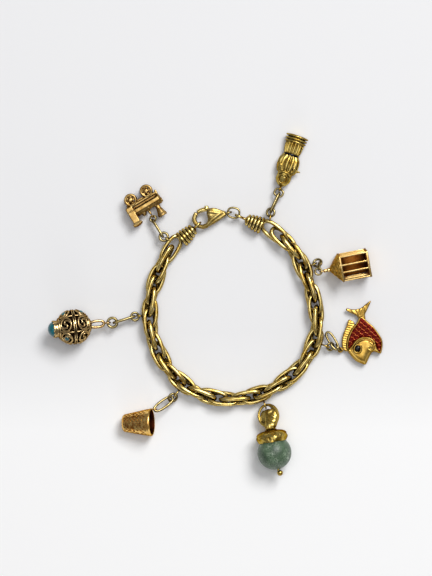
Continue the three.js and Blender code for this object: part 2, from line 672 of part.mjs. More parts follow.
const bracelet = new THREE.Group();
bracelet.add(
  chainNodes(),
  claspNodes(),
  hangerNodes(),
  charmGroup('locomotive', [node('locomotive', locomotiveGeometry(), 'charm')]),
  charmGroup('figure', [node('figure', figureGeometry(), 'chain')]),
  charmGroup('cage', [node('cage', cageGeometry(), 'charm')]),
  charmGroup('fish', [node('fish', fishGeometry(), 'charm')]),
  charmGroup('bead', [
    node('bead_bail', beadBailGeometry(), 'chain'),
    node('bead', beadGeometry(), 'jade'),
  ]),
  charmGroup('thimble', [node('thimble', thimbleGeometry(), 'charm')]),
  charmGroup('fob', [
    node('fob', fobGeometry(), 'ring'),
    node('fob_stone', fobStoneGeometry(), 'turquoise'),
  ]),
);

// The origin is the middle of the bracelet's box, on the table.
bracelet.updateMatrixWorld(true);
const extent = new THREE.Box3().setFromObject(bracelet, true);
const middle = extent.getCenter(new THREE.Vector3());
bracelet.position.set(-middle.x, -middle.y, -extent.min.z);

export default bracelet;
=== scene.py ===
"""A gold charm bracelet lying on a table, with a lobster clasp and seven charms."""
import math

import bmesh
import bpy
from mathutils import Euler, Matrix, Vector, kdtree, noise


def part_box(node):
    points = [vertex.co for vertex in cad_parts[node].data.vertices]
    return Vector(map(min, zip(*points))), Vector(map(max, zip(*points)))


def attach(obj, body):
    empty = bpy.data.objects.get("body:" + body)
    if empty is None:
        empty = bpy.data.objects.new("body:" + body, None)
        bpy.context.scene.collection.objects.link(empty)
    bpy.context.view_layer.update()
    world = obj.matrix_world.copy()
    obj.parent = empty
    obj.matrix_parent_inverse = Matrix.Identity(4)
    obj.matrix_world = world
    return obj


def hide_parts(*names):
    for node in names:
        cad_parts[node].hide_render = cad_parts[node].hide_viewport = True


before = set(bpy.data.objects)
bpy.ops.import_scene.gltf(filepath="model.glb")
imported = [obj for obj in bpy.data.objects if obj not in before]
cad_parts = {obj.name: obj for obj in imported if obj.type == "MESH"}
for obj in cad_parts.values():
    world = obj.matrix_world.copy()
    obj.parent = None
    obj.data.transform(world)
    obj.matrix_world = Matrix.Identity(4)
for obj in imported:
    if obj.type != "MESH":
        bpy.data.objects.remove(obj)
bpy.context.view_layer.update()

MM = 0.001
FULL_TURN = 2 * math.pi
# Points that lie closer together than this, in millimetres, are one.
WELD = 1e-4
# Faces that meet at a larger angle than this show an edge.
SHARP_ANGLE = math.radians(38)
# How high a mirrored underside is beside its top.
UNDERSIDE = 0.75
X_AXIS, Z_AXIS = Vector((1, 0, 0)), Vector((0, 0, 1))

# ------------------------------------------------------------------ where things lie
# The tables are in millimetres on the table top, and the frame's own origin is a little off it.

CLASP_RING = dict(x=6.15, y=31.85, z=3.0, heading=-8, length=4.8, width=4.2, wire=0.72)


def middle_of(node):
    low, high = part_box(node)
    return (low + high) / 2


TABLE_ORIGIN = middle_of("clasp_ring") - MM * Vector([CLASP_RING[key] for key in "xyz"])
TO_ROW = Matrix.Translation(TABLE_ORIGIN) @ Matrix.Scale(MM, 4)


def on_table(node):
    return (middle_of(node) - TABLE_ORIGIN) / MM


def place_of(x=0.0, y=0.0, z=0.0, heading=0.0, pitch=0.0, roll=0.0):
    """A turn by roll, pitch and heading in degrees, in that order, and then a move."""
    turn = Euler([math.radians(angle) for angle in (roll, pitch, heading)], "XYZ")
    return Matrix.Translation((x, y, z)) @ turn.to_matrix().to_4x4()


# Where each charm and the clasp lie, from the frame that their shapes are drawn in.
PLACES = {
    "clasp": dict(x=-4.8, y=29.75, z=3.0, heading=13.1),
    "locomotive": dict(x=-28.07, y=32.24, z=2.72, heading=30.8),
    "figure": dict(x=22.6, y=40.85, z=2.62, heading=71.5),
    "cage": dict(x=39.5, y=11.8, z=5.3, heading=10.9, roll=8),
    "fish": dict(x=51.2, y=-4.6, z=1.6, heading=-76.5),
    "bead": dict(x=20.4, y=-52.0, z=5.95, heading=-76.8, pitch=-2.5),
    "thimble": dict(x=-32.756, y=-41.9, z=2.879, heading=2.5, pitch=-11.5),
    "fob": dict(x=-49.8, y=-8.1, z=6.25, heading=186.8, pitch=-10),
}

# Round wire swells a little past the straight-sided solids that it stands for.
RING_FULLNESS = 0.12
# Each ring of a hanger: its place, its size and how it is turned.
RING_COLUMNS = ("x", "y", "z", "length", "width", "wire", "heading", "pitch", "roll")
HANGERS = {
    "locomotive_hanger": [
        (-18.3, 23.43, 3.78, 3.7, 3.7, 0.8, 0, 0, -8),
        (-20.45, 26.44, 3.3, 7.9, 2.3, 0.75, 122, 8, 95),
        (-22.08, 29.8, 2.82, 2.6, 2.6, 0.6, 0, -5, -3),
    ],
    "figure_hanger": [
        (19.16, 31.95, 3.61, 3.5, 3.5, 0.75, -7, -19, 0),
        (20.69, 35.43, 3.3, 8.2, 2.3, 0.8, 65, 10, 75),
        (22.01, 38.91, 2.74, 3.24, 3.7, 0.65, 62, 4, -10),
    ],
    "cage_hanger": [
        (35.54, 14.32, 3.34, 3.6, 3.6, 0.7, 24, -3, -36),
        (36.08, 13.21, 4.33, 3.8, 2.2, 0.65, -94, -41, 78),
        (35.8, 11.28, 5.12, 2.9, 2.9, 0.6, 0, -6, -5),
    ],
    "fish_hanger": [
        (40.1, -15.01, 2.35, 3.3, 3.3, 0.7, 17, 25, 21),
        (40.76, -13.03, 2.02, 7.6, 2.9, 0.7, -59, -8, 0),
        (42.87, -15.37, 1.96, 3.0, 3.0, 0.55, 124, 14, 80),
    ],
    "thimble_hanger": [
        (-15.16, -32.89, 2.99, 3.7, 3.7, 0.75, 17, 15, 29),
        (-18.35, -35.08, 4.03, 8.7, 3.3, 0.8, 215, -19, 12),
    ],
    "fob_hanger": [
        (-28.41, -4.5, 2.75, 3.4, 3.4, 0.7, 13, 13, 0),
        (-32.18, -5.54, 3.57, 8.5, 2.3, 0.8, 197.5, -11, 87),
        (-36.27, -6.61, 4.12, 4.1, 4.1, 0.85, 0, 0, 0),
    ],
}

CHAIN_LINKS = 39
CHAIN_WIRE = dict(length=11.4, width=6.04, wire=1.42)
CHAIN_HEIGHT = 3.02
# How far some links are rolled about the chain's line, as (link, degrees). The rest lie between.
ROLL_KNOTS = [(0, 22), (18, 990), (38, 2000)]
EYE_WIRE = 0.56
# The eyes soldered to links, by link.
CHAIN_EYES = {
    0: dict(x=-17.03, y=22.56, z=3.88, radius=0.87, heading=142),
    6: dict(x=-26.93, y=-4.27, z=2.4, radius=0.94, heading=180),
    13: dict(x=-13.81, y=-31.38, z=3.07, radius=1.36, heading=-129.5),
    20: dict(x=17.11, y=-35.4, z=3.47, radius=1.3, heading=-72),
    27: dict(x=38.39, y=-14.74, z=3.2, radius=1.46, heading=-19),
    34: dict(x=34.14, y=13.78, z=2.94, radius=1.17, heading=24.6),
    38: dict(x=18.97, y=30.13, z=3.69, radius=1.23, heading=82.7),
}
# The face of each end cap, the middle of its loop, and the link that is set in it.
CAPS = {
    "cap_left": dict(face=(-12.304, 22.259), loop=(-6.45, 27.55), link=0),
    "cap_right": dict(face=(16.266, 27.181), loop=(8.1, 30.6), link=38),
}

# ------------------------------------------------------------------ finishes


def colour(hex_value):
    """An sRGB hex colour as linear values."""
    channels = [int(hex_value[i:i + 2], 16) / 255 for i in (1, 3, 5)]
    linear = [c / 12.92 if c <= 0.04045 else ((c + 0.055) / 1.055) ** 2.4 for c in channels]
    return (*linear, 1.0)


def feed(node, inputs):
    """Each input of the node linked to the socket, or set to the value, that is given for it."""
    for key, value in inputs.items():
        if isinstance(value, bpy.types.NodeSocket):
            node.id_data.links.new(value, node.inputs[key])
        else:
            node.inputs[key].default_value = value


def add(tree, kind, inputs=None, stops=(), **settings):
    """A new node with its settings, its inputs and a colour ramp's stops."""
    made = tree.nodes.new(kind)
    for name, value in settings.items():
        setattr(made, name, value)
    feed(made, inputs or {})
    for number, (position, value) in enumerate(stops):
        elements = made.color_ramp.elements
        element = elements[number] if number < 2 else elements.new(position)
        element.position, element.color = position, value
    return made


def new_material(name):
    material = bpy.data.materials.new(name)
    material.use_nodes = True
    tree = material.node_tree
    tree.nodes.clear()
    surface = add(tree, "ShaderNodeBsdfPrincipled")
    add(tree, "ShaderNodeOutputMaterial", {"Surface": surface.outputs["BSDF"]})
    place = add(tree, "ShaderNodeTexCoord").outputs["Object"]
    return material, tree, surface, place


def per_mm(size):
    """A texture scale whose features are about this many millimetres across."""
    return 1 / (size * MM)


CLEAR, FULL = (0, 0, 0, 1), (1, 1, 1, 1)


def gold(name, metal, shade, dirt_and_shade, roughness, relief=0.0, relief_size=0.6, reach=3.0, clean_and_lit=0.93):
    """Gold, dark where dirt and old polish stay in the recesses, with handling marks. Its ambient
    occlusion also paints shade: corners, hollows and sides that face the table are darkened.

    In millimetres, relief is the height of a chased or cast texture, relief_size the width of its
    marks, and reach how far the darkening spreads from a corner or the table. The last argument is
    the openness past which there is neither dirt nor painted shade.
    """
    material, tree, surface, place = new_material(name)
    cloud = add(tree, "ShaderNodeTexNoise",
                {"Vector": place, "Scale": per_mm(2.2), "Detail": 4.0, "Roughness": 0.6})
    tone = add(tree, "ShaderNodeValToRGB", {"Fac": cloud.outputs["Fac"]},
               stops=[(0.34, colour(shade)), (0.6, colour(metal))])
    # Painted shade: where ambient occlusion finds corners, hollows or the table close by, the gold
    # darkens towards the dark colour, which stands for dirt in the recesses and for shade.
    openness = add(tree, "ShaderNodeAmbientOcclusion", {"Distance": reach * MM}, samples=8)
    dirt_and_shade_mask = add(tree, "ShaderNodeValToRGB", {"Fac": openness.outputs["AO"]},
               stops=[(0.28, FULL), (clean_and_lit, CLEAR)])
    # A colour Mix node has number and vector sockets too, so its colour ones go by number.
    dirtied_and_shaded = add(tree, "ShaderNodeMix",
                 {"Factor": dirt_and_shade_mask.outputs["Color"], 6: tone.outputs["Color"], 7: colour(dirt_and_shade)},
                 data_type="RGBA")
    marks = add(tree, "ShaderNodeTexNoise",
                {"Vector": place, "Scale": per_mm(0.35), "Detail": 5.0, "Roughness": 0.7})
    gloss = add(tree, "ShaderNodeMapRange",
                {"Value": marks.outputs["Fac"], "From Min": 0.3, "From Max": 0.7,
                 "To Min": roughness * 0.75, "To Max": roughness * 1.35})
    normal = add(tree, "ShaderNodeBump",
                 {"Height": marks.outputs["Fac"], "Strength": 0.25, "Distance": 0.03 * MM})
    if relief:
        chasing = add(tree, "ShaderNodeTexVoronoi",
                      {"Vector": place, "Scale": per_mm(relief_size)}, feature="SMOOTH_F1")
        normal = add(tree, "ShaderNodeBump",
                     {"Height": chasing.outputs["Distance"], "Strength": 1.0,
                      "Distance": relief * MM, "Normal": normal.outputs["Normal"]})
    feed(surface, {"Base Color": dirtied_and_shaded.outputs[2], "Metallic": 1.0, "Specular Tint": colour("#7A5A2A"),
                   "Roughness": gloss.outputs["Result"], "Normal": normal.outputs["Normal"]})
    return material


# 18 carat yellow gold wire, drawn and tumble polished: greenish yellow, bright, soft worn gloss.
CHAIN_GOLD = gold("gold_18ct_drawn_polished", "#E6CF86", "#C29C42", "#321E02", 0.24, clean_and_lit=0.9)
# The same alloy, cast and polished by hand: its folds keep a line of dark polish and painted shade.
MODELLED_GOLD = gold("gold_18ct_cast_polished", "#D2B968", "#AA8632", "#2E1E04", 0.27, reach=2.0,
                     clean_and_lit=0.9)
# 14 carat gold, a little redder, cast and polished.
FISH_GOLD = gold("gold_14ct_cast_polished", "#C8A453", "#9C7529", "#361C00", 0.31, reach=2.0,
                 clean_and_lit=0.9)
# The 18 carat gold again, chased: the tool marks break up its highlights.
CHASED_GOLD = gold("gold_18ct_chased", "#BFA96A", "#987B39", "#281A04", 0.36, relief=0.05)
# 9 carat copper-rich gold, cast: warmer and duller, with brown painted shade and old polish in every
# corner.
CAST_GOLD = gold("gold_9ct_cast_satin", "#C4A467", "#98743A", "#5A320A", 0.34, relief=0.02,
                 relief_size=0.5)
# The same alloy worked from sheet and kept bright: dirt and painted shade only in its deepest corners.
SHEET_GOLD = gold("gold_9ct_sheet_polished", "#EFCE8A", "#DCAE60", "#8A5416", 0.26, reach=1.2,
                  clean_and_lit=0.6)
# The same sheet knurled by a wheel: every pit keeps dark polish and painted shade.
KNURLED_GOLD = gold("gold_9ct_sheet_knurled", "#FFD684", "#E8AE58", "#8F561E", 0.26, reach=0.8,
                    clean_and_lit=0.9)
# Hammered sheet of the warm gold: small shallow facets.
HAMMERED_GOLD = gold("gold_9ct_hammered", "#EEC364", "#C08C32", "#70420E", 0.28, relief=0.8,
                     relief_size=0.8, clean_and_lit=0.7)
# 9 carat gold wire, worn pale and dull.
WIRE_GOLD = gold("gold_9ct_wire_worn", "#AC9B6A", "#847246", "#2E220C", 0.27)
# Wire and strip of a pinker 9 carat gold, worked into openwork and polished on the outside.
OPENWORK_GOLD = gold("gold_9ct_openwork", "#DDC08A", "#B99763", "#2A1A08", 0.24, reach=4.0,
                     clean_and_lit=0.95)
# Inside of the cage: unpolished copper-rich gold, painted dark brown for the shade inside the cage.
CAGE_SHADE_GOLD = gold("gold_9ct_cage_inside_painted_shade", "#B0702C", "#7E4214", "#3A1606", 0.34, reach=6.0)
# Inside of the thimble: the same, painted dark red-brown for the shade in its mouth.
THIMBLE_SHADE_GOLD = gold("gold_9ct_thimble_inside_painted_shade", "#431A0A", "#301206", "#1A0903", 0.45, reach=6.0)
# Inside of the openwork ball: painted almost black for the shade inside the ball.
BALL_SHADE_GOLD = gold("gold_9ct_ball_inside_painted_shade", "#3A2412", "#26160B", "#120A05", 0.5, reach=4.0)


def red_enamel():
    """Transparent red glass enamel fired over scaled gold: deep red where it pools, and thin enough
    on the scales' edges for the gold to glow through."""
    material, tree, surface, place = new_material("enamel_fired_red")
    edge = add(tree, "ShaderNodeAttribute", attribute_name="scale_edge")
    glass = add(tree, "ShaderNodeValToRGB", {"Fac": edge.outputs["Fac"]},
                stops=[(0.0, colour("#4A0402")), (0.95, colour("#D6984C")), (0.55, colour("#921508"))])
    ripple = add(tree, "ShaderNodeTexNoise", {"Vector": place, "Scale": per_mm(0.5), "Detail": 3.0})
    bump = add(tree, "ShaderNodeBump",
               {"Height": ripple.outputs["Fac"], "Strength": 0.5, "Distance": 0.05 * MM})
    feed(surface, {"Base Color": glass.outputs["Color"], "Metallic": 0.6,
                   "Specular Tint": colour("#B0301A"), "Roughness": 0.3, "Coat Weight": 0.08,
                   "Coat Roughness": 0.1, "Normal": bump.outputs["Normal"]})
    return material


def black_enamel():
    """Opaque black enamel, fired and stoned flush: dark, glossy, faintly pitted."""
    material, tree, surface, place = new_material("enamel_fired_black")
    pits = add(tree, "ShaderNodeTexNoise", {"Vector": place, "Scale": per_mm(0.25), "Detail": 3.0})
    tone = add(tree, "ShaderNodeValToRGB", {"Fac": pits.outputs["Fac"]},
               stops=[(0.3, colour("#050405")), (0.75, colour("#15110E"))])
    bump = add(tree, "ShaderNodeBump",
               {"Height": pits.outputs["Fac"], "Strength": 0.2, "Distance": 0.02 * MM})
    feed(surface, {"Base Color": tone.outputs["Color"], "Roughness": 0.16,
                   "Specular IOR Level": 0.18, "Coat Weight": 0.04, "Coat Roughness": 0.05,
                   "Normal": bump.outputs["Normal"]})
    return material


def aventurine():
    """Green aventurine quartz, polished: cloudy grey green, crazed with fine pale cracks. The cracks
    are drawn about twice as coarse as real ones, to show at this size."""
    material, tree, surface, place = new_material("aventurine_polished")
    cloud = add(tree, "ShaderNodeTexNoise",
                {"Vector": place, "Scale": per_mm(3.5), "Detail": 7.0, "Roughness": 0.7})
    body = add(tree, "ShaderNodeValToRGB", {"Fac": cloud.outputs["Fac"]},
               stops=[(0.32, colour("#354836")), (0.68, colour("#587356")), (0.5, colour("#455C43"))])
    grains = add(tree, "ShaderNodeTexVoronoi",
                 {"Vector": place, "Scale": per_mm(0.8)}, feature="DISTANCE_TO_EDGE")
    cracks = add(tree, "ShaderNodeValToRGB", {"Fac": grains.outputs["Distance"]},
                 stops=[(0.01, (0.6, 0.6, 0.6, 1)), (0.1, CLEAR)])
    patches = add(tree, "ShaderNodeTexNoise", {"Vector": place, "Scale": per_mm(2.5), "Detail": 2.0})
    where = add(tree, "ShaderNodeValToRGB", {"Fac": patches.outputs["Fac"]},
                stops=[(0.45, (0.15, 0.15, 0.15, 1)), (0.65, FULL)])
    amount = add(tree, "ShaderNodeMath",
                 {0: cracks.outputs["Color"], 1: where.outputs["Color"]}, operation="MULTIPLY")
    crazed = add(tree, "ShaderNodeMix",
                 {"Factor": amount.outputs["Value"], 6: body.outputs["Color"], 7: colour("#B6C4AE")},
                 data_type="RGBA")
    bump = add(tree, "ShaderNodeBump",
               {"Height": grains.outputs["Distance"], "Strength": 1.0, "Distance": 0.08 * MM})
    feed(surface, {"Base Color": crazed.outputs[2], "Roughness": 0.4, "IOR": 1.54,
                   "Subsurface Weight": 0.3, "Subsurface Radius": (0.8, 1.2, 0.9),
                   "Subsurface Scale": 1.0 * MM, "Normal": bump.outputs["Normal"]})
    return material


def turquoise():
    """Turquoise, cut as a cabochon and waxed: blue green with faint darker clouds."""
    material, tree, surface, place = new_material("turquoise_waxed")
    cloud = add(tree, "ShaderNodeTexNoise",
                {"Vector": place, "Scale": per_mm(1.6), "Detail": 5.0, "Roughness": 0.6})
    tone = add(tree, "ShaderNodeValToRGB", {"Fac": cloud.outputs["Fac"]},
               stops=[(0.3, colour("#084A50")), (0.8, colour("#22808A")), (0.55, colour("#0E6670"))])
    bump = add(tree, "ShaderNodeBump",
               {"Height": cloud.outputs["Fac"], "Strength": 0.15, "Distance": 0.05 * MM})
    feed(surface, {"Base Color": tone.outputs["Color"], "Roughness": 0.3, "IOR": 1.61,
                   "Normal": bump.outputs["Normal"]})
    return material


RED_ENAMEL = red_enamel()
BLACK_ENAMEL = black_enamel()
AVENTURINE = aventurine()
TURQUOISE = turquoise()

# ------------------------------------------------------------------ shaping


def mesh_of(shape, name="work"):
    """A mesh that takes over a shape."""
    mesh = bpy.data.meshes.new(name)
    shape.to_mesh(mesh)
    shape.free()
    return mesh


def new_object(name, data):
    """A new object in the scene for a mesh, a lamp or a camera."""
    made = bpy.data.objects.new(name, data)
    bpy.context.scene.collection.objects.link(made)
    return made


def moved(shape, matrix=None, **place):
    bmesh.ops.transform(shape, matrix=matrix or place_of(**place), verts=shape.verts)
    return shape


def aimed(shape, axis, direction):
    """The shape turned so that its axis points along the direction."""
    return moved(shape, matrix=axis.rotation_difference(direction).to_matrix().to_4x4())


def gathered(shapes):
    """One bmesh that holds every shape in the list."""
    whole = bmesh.new()
    for shape in shapes:
        mesh = mesh_of(shape)
        whole.from_mesh(mesh)
        bpy.data.meshes.remove(mesh)
    return whole


def remade(shape, kind, tool=None, **settings):
    """The shape after one modifier; tool is the other shape that the modifier works with."""
    made = [new_object("work", mesh_of(part)) for part in (shape, tool) if part]
    modifier = made[0].modifiers.new("work", kind)
    for name, value in settings.items():
        setattr(modifier, name, value)
    if tool:
        modifier.object = made[1]
    evaluated = made[0].evaluated_get(bpy.context.evaluated_depsgraph_get())
    result = bmesh.new()
    result.from_mesh(evaluated.to_mesh())
    evaluated.to_mesh_clear()
    for part in made:
        mesh = part.data
        bpy.data.objects.remove(part)
        bpy.data.meshes.remove(mesh)
    return result


def cut(shape, cutter):
    return remade(shape, "BOOLEAN", cutter, operation="DIFFERENCE", solver="EXACT")


def cast(shapes, grain=0.12, rounds=1):
    """The shapes run together into one finely meshed body, its corners softened in some rounds."""
    body = remade(gathered(shapes), "REMESH", mode="VOXEL", voxel_size=grain)
    for _ in range(rounds):
        bmesh.ops.smooth_vert(body, verts=body.verts, factor=0.5, use_axis_x=True, use_axis_y=True,
                              use_axis_z=True)
    return body


def tidied(shape):
    """Doubles merged and faces turned outwards."""
    bmesh.ops.remove_doubles(shape, verts=shape.verts, dist=WELD)
    bmesh.ops.recalc_face_normals(shape, faces=shape.faces)
    return shape


def turned(profile, steps, closed=False):
    """A solid turned about the X axis from (along, radius) points, closed where it has a bore."""
    shape = bmesh.new()
    verts = [shape.verts.new((along, 0, radius)) for along, radius in profile]
    pairs = list(zip(verts, verts[1:])) + ([(verts[-1], verts[0])] if closed else [])
    edges = [shape.edges.new(pair) for pair in pairs]
    bmesh.ops.spin(shape, geom=verts + edges, cent=(0, 0, 0), axis=X_AXIS, angle=FULL_TURN,
                   steps=steps, use_merge=True)
    return tidied(shape)


def rod(start, end, radius, steps=20):
    """A plain round bar along the X axis."""
    return turned([(start, 0), (start, radius), (end, radius), (end, 0)], steps)


# How square an oval ring is: 2 would be an ellipse.
OVALNESS = 2.5


def oval_point(turn, half_length, half_width):
    """A point of an oval outline and its outward direction."""
    bend = lambda value: math.copysign(abs(value) ** (2 / OVALNESS), value)
    x, y = bend(math.cos(turn)), bend(math.sin(turn))
    lean = lambda value, half: math.copysign(abs(value) ** (OVALNESS - 1), value) / half
    outward = Vector((lean(x, half_length), lean(y, half_width), 0)).normalized()
    return Vector((x * half_length, y * half_width, 0)), outward


def wire_ring(length, width, wire, steps=48, sides=12, **place):
    """A closed wire, round or bent to an oval, flat in XY before it is placed."""
    half_length, half_width = (length - wire) / 2, (width - wire) / 2
    shape = bmesh.new()
    stand = Matrix.Translation((half_length, 0, 0)) @ Matrix.Rotation(math.pi / 2, 4, "X")
    bmesh.ops.create_circle(shape, segments=sides, radius=wire / 2, matrix=stand)
    bmesh.ops.spin(shape, geom=shape.verts[:] + shape.edges[:], cent=(0, 0, 0), axis=Z_AXIS,
                   angle=FULL_TURN, steps=steps, use_merge=True)
    tidied(shape)
    if length != width:
        for vert in shape.verts:
            off = math.hypot(vert.co.x, vert.co.y) - half_length
            turn = math.atan2(vert.co.y, vert.co.x)
            point, outward = oval_point(turn, half_length, half_width)
            vert.co = point + outward * off + Z_AXIS * vert.co.z
    return moved(shape, **place)


def upright_ring(radius, wire, **place):
    """A round wire ring that stands in the XZ plane before it is placed."""
    size = 2 * radius + wire
    ring = moved(wire_ring(size, size, wire, steps=32, sides=10), roll=90)
    return moved(ring, **place)


def smooth_line(points, per_span, closed=False):
    """Points along a smooth curve through the given ones."""
    known = [Vector(point if len(point) == 3 else (*point, 0)) for point in points]
    count = len(known)
    pick = (lambda i: known[i % count]) if closed else (lambda i: known[max(0, min(count - 1, i))])
    line = []
    for span in range(count if closed else count - 1):
        a, b, c, d = (pick(span + k) for k in (-1, 0, 1, 2))
        for step in range(per_span):
            t = step / per_span
            line.append(0.5 * (2 * b + (c - a) * t + (2 * a - 5 * b + 4 * c - d) * t ** 2
                               + (3 * b - a - 3 * c + d) * t ** 3))
    return line if closed else line + [known[-1]]


def extruded(shape, face):
    """The points and the face at the end of an extrusion from a face."""
    grown = bmesh.ops.extrude_face_region(shape, geom=[face])["geom"]
    verts = [item for item in grown if isinstance(item, bmesh.types.BMVert)]
    return verts, next(item for item in grown if isinstance(item, bmesh.types.BMFace))


def swept(line, sizes, up=Z_AXIS, sides=12):
    """A bar along a line. sizes holds a (half width, half height) for each point, or one for all;
    up says which way its height lies, for each point or for all."""
    count = len(line)
    sizes = sizes if isinstance(sizes, list) else [sizes] * count
    ups = up if isinstance(up, list) else [up] * count
    stations = []
    for i, point in enumerate(line):
        along = (line[min(i + 1, count - 1)] - line[max(i - 1, 0)]).normalized()
        across = ups[i].cross(along).normalized()
        stand = along.cross(across)
        basis = Matrix((across * sizes[i][0], stand * sizes[i][1], along)).transposed()
        stations.append(Matrix.Translation(point) @ basis.to_4x4())
    shape = bmesh.new()
    bmesh.ops.create_circle(shape, cap_ends=True, segments=sides, radius=1, matrix=stations[0])
    face = shape.faces[:][0]
    for before, after in zip(stations, stations[1:]):
        verts, face = extruded(shape, face)
        bmesh.ops.transform(shape, matrix=after @ before.inverted(), verts=verts)
    return tidied(shape)


def round_ends(count, half_width, half_height, steps=2):
    """Sizes for a swept bar whose two ends are rounded off."""
    sizes = []
    for i in range(count):
        share = min(1.0, (min(i, count - 1 - i) + 0.35) / steps)
        grow = math.sqrt(1 - (1 - share) ** 2)
        sizes.append((half_width * grow, half_height * grow))
    return sizes


def strap(points, half_width, half_height, steps=2, per_span=5, sides=12):
    """A flattened bar with rounded ends, along a smooth line through the points."""
    line = smooth_line(points, per_span)
    return swept(line, round_ends(len(line), half_width, half_height, steps), sides=sides)


def horn(points, radius, fall, up=Z_AXIS, sides=12):
    """A bar along a smooth line through the points, whose radius falls evenly to its tip."""
    line = smooth_line(points, 4)
    sizes = [(radius - fall * i / (len(line) - 1),) * 2 for i in range(len(line))]
    return swept(line, sizes, up, sides)


def bar(line, wire, up=Z_AXIS):
    """A round wire along a line, with rounded ends."""
    return swept(line, round_ends(len(line), wire / 2, wire / 2), up, sides=10)


def domed(outline, waist, rise, grain=0.14, edge_layer=None):
    """A finely meshed plate inside a smooth outline. rise(x, y, depth) lifts its top and, mirrored,
    its underside, where depth is how far the point lies inside the outline. A rise that also
    gives a mark returns a pair, and the mark is kept in edge_layer."""
    rim = smooth_line(outline, 8, closed=True)
    shape = bmesh.new()
    face = shape.faces.new([shape.verts.new((point.x, point.y, -waist / 2)) for point in rim])
    bmesh.ops.translate(shape, vec=Z_AXIS * waist, verts=extruded(shape, face)[0])
    bmesh.ops.recalc_face_normals(shape, faces=shape.faces)
    shape = cast([shape], grain)
    nearest = kdtree.KDTree(len(rim))
    for number, point in enumerate(rim):
        nearest.insert((point.x, point.y, 0), number)
    nearest.balance()
    marks = shape.verts.layers.float.new(edge_layer) if edge_layer else None
    for vert in shape.verts:
        depth = nearest.find((vert.co.x, vert.co.y, 0))[2]
        lift = rise(vert.co.x, vert.co.y, depth)
        if marks:
            lift, vert[marks] = lift
        vert.co.z *= (1 + 2 * lift / waist) * (1 if vert.co.z > 0 else UNDERSIDE)
    return shape


def dome(depth, spread, height):
    """The height of a rounded edge at a depth inside the outline."""
    share = min(1.0, depth / spread)
    return height * math.sqrt(1 - (1 - share) ** 2)


def block(x_span, y_span, z_span, edge, segments=2):
    """A box with softened edges between two planes each way."""
    spans = (x_span, y_span, z_span)
    size = Matrix.Diagonal([*(high - low for low, high in spans), 1])
    middle = Matrix.Translation([(high + low) / 2 for low, high in spans])
    shape = bmesh.new()
    bmesh.ops.create_cube(shape, size=1, matrix=middle @ size)
    bmesh.ops.bevel(shape, geom=shape.edges[:], offset=edge, segments=segments, profile=0.5,
                    affect="EDGES", material=-1, clamp_overlap=True)
    return shape


def ball(radius, segments, rings, squash=1.0, **place):
    shape = bmesh.new()
    bmesh.ops.create_uvsphere(shape, u_segments=segments, v_segments=rings, radius=radius)
    bmesh.ops.scale(shape, vec=(1, 1, squash), verts=shape.verts)
    return moved(shape, **place)


def ruffled(shape, height, size, seed=0.0):
    """Hand-worked unevenness: each point moves along its normal by a little."""
    shape.normal_update()
    offset = Vector((seed, seed * 0.7, seed * 1.3))
    for vert in shape.verts:
        vert.co += vert.normal * (noise.noise(vert.co / size + offset) * height)
    return shape


def both_sides(make):
    """The shape that make() gives, and a slightly flatter mirror image of it below z = 0."""
    top, bottom = make(), make()
    bmesh.ops.scale(bottom, vec=(1, 1, -UNDERSIDE), verts=bottom.verts)
    bmesh.ops.reverse_faces(bottom, faces=bottom.faces)
    return [top, bottom]


def piece(name, shapes, material, nodes, charm=None, body="bracelet"):
    """A finished piece from shapes in millimetres, drawn on the table or in a charm's own frame.
    It rides on its body and stands for nodes."""
    shape = gathered(shapes)
    if charm:
        moved(shape, **PLACES[charm])
    moved(shape, matrix=TO_ROW)
    shape.normal_update()
    for face in shape.faces:
        face.smooth = True
    for edge in shape.edges:
        edge.smooth = len(edge.link_faces) == 2 and edge.calc_face_angle(0) < SHARP_ANGLE
    made = new_object(name, mesh_of(shape, name))
    made.data.materials.append(material)
    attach(made, body)
    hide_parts(*nodes)
    return made


# ------------------------------------------------------------------ chain


def roll_of(link):
    for (start, low), (end, high) in zip(ROLL_KNOTS, ROLL_KNOTS[1:]):
        if link <= end:
            return low + (high - low) * (link - start) / (end - start)


def link_middles():
    """The middle of every link. A link that carries an eye, or is set in a cap, has a box that is
    not centred on it, so its middle comes from its neighbours."""
    free = [i for i in range(1, CHAIN_LINKS - 1) if i not in CHAIN_EYES]
    middles = {i: on_table(f"link_{i:02d}") for i in free}
    for i in CHAIN_EYES:
        if 1 < i < CHAIN_LINKS - 2:
            near, far = middles[i - 1] + middles[i + 1], middles[i - 2] + middles[i + 2]
            middles[i] = (4 * near - far) / 6
    last = CHAIN_LINKS - 1
    middles[0] = 3 * middles[1] - 3 * middles[2] + middles[3]
    middles[last] = 3 * middles[last - 1] - 3 * middles[last - 2] + middles[last - 3]
    return [middles[i] for i in range(CHAIN_LINKS)]


LINK_MIDDLES = link_middles()


def link_shapes(index):
    """One link of the chain, with its soldered eye if it carries one."""
    before = LINK_MIDDLES[max(0, index - 1)]
    after = LINK_MIDDLES[min(CHAIN_LINKS - 1, index + 1)]
    along = (after - before).normalized()
    outward = Vector((along.y, -along.x, 0))
    roll = math.radians(roll_of(index))
    across = outward * math.cos(roll) + Z_AXIS * math.sin(roll)
    basis = Matrix((along, across, along.cross(across))).transposed().to_4x4()
    shapes = [moved(wire_ring(**CHAIN_WIRE, steps=64, sides=14),
                    matrix=Matrix.Translation(LINK_MIDDLES[index]) @ basis)]
    if index in CHAIN_EYES:
        shapes.append(upright_ring(wire=EYE_WIRE, **CHAIN_EYES[index]))
    return shapes


CAP = dict(length=6.0, ribs=5, rib_radius=2.96, groove_radius=2.3, taper=0.3, tip_radius=1.35,
           loop_radius=1.3, loop_wire=0.8)


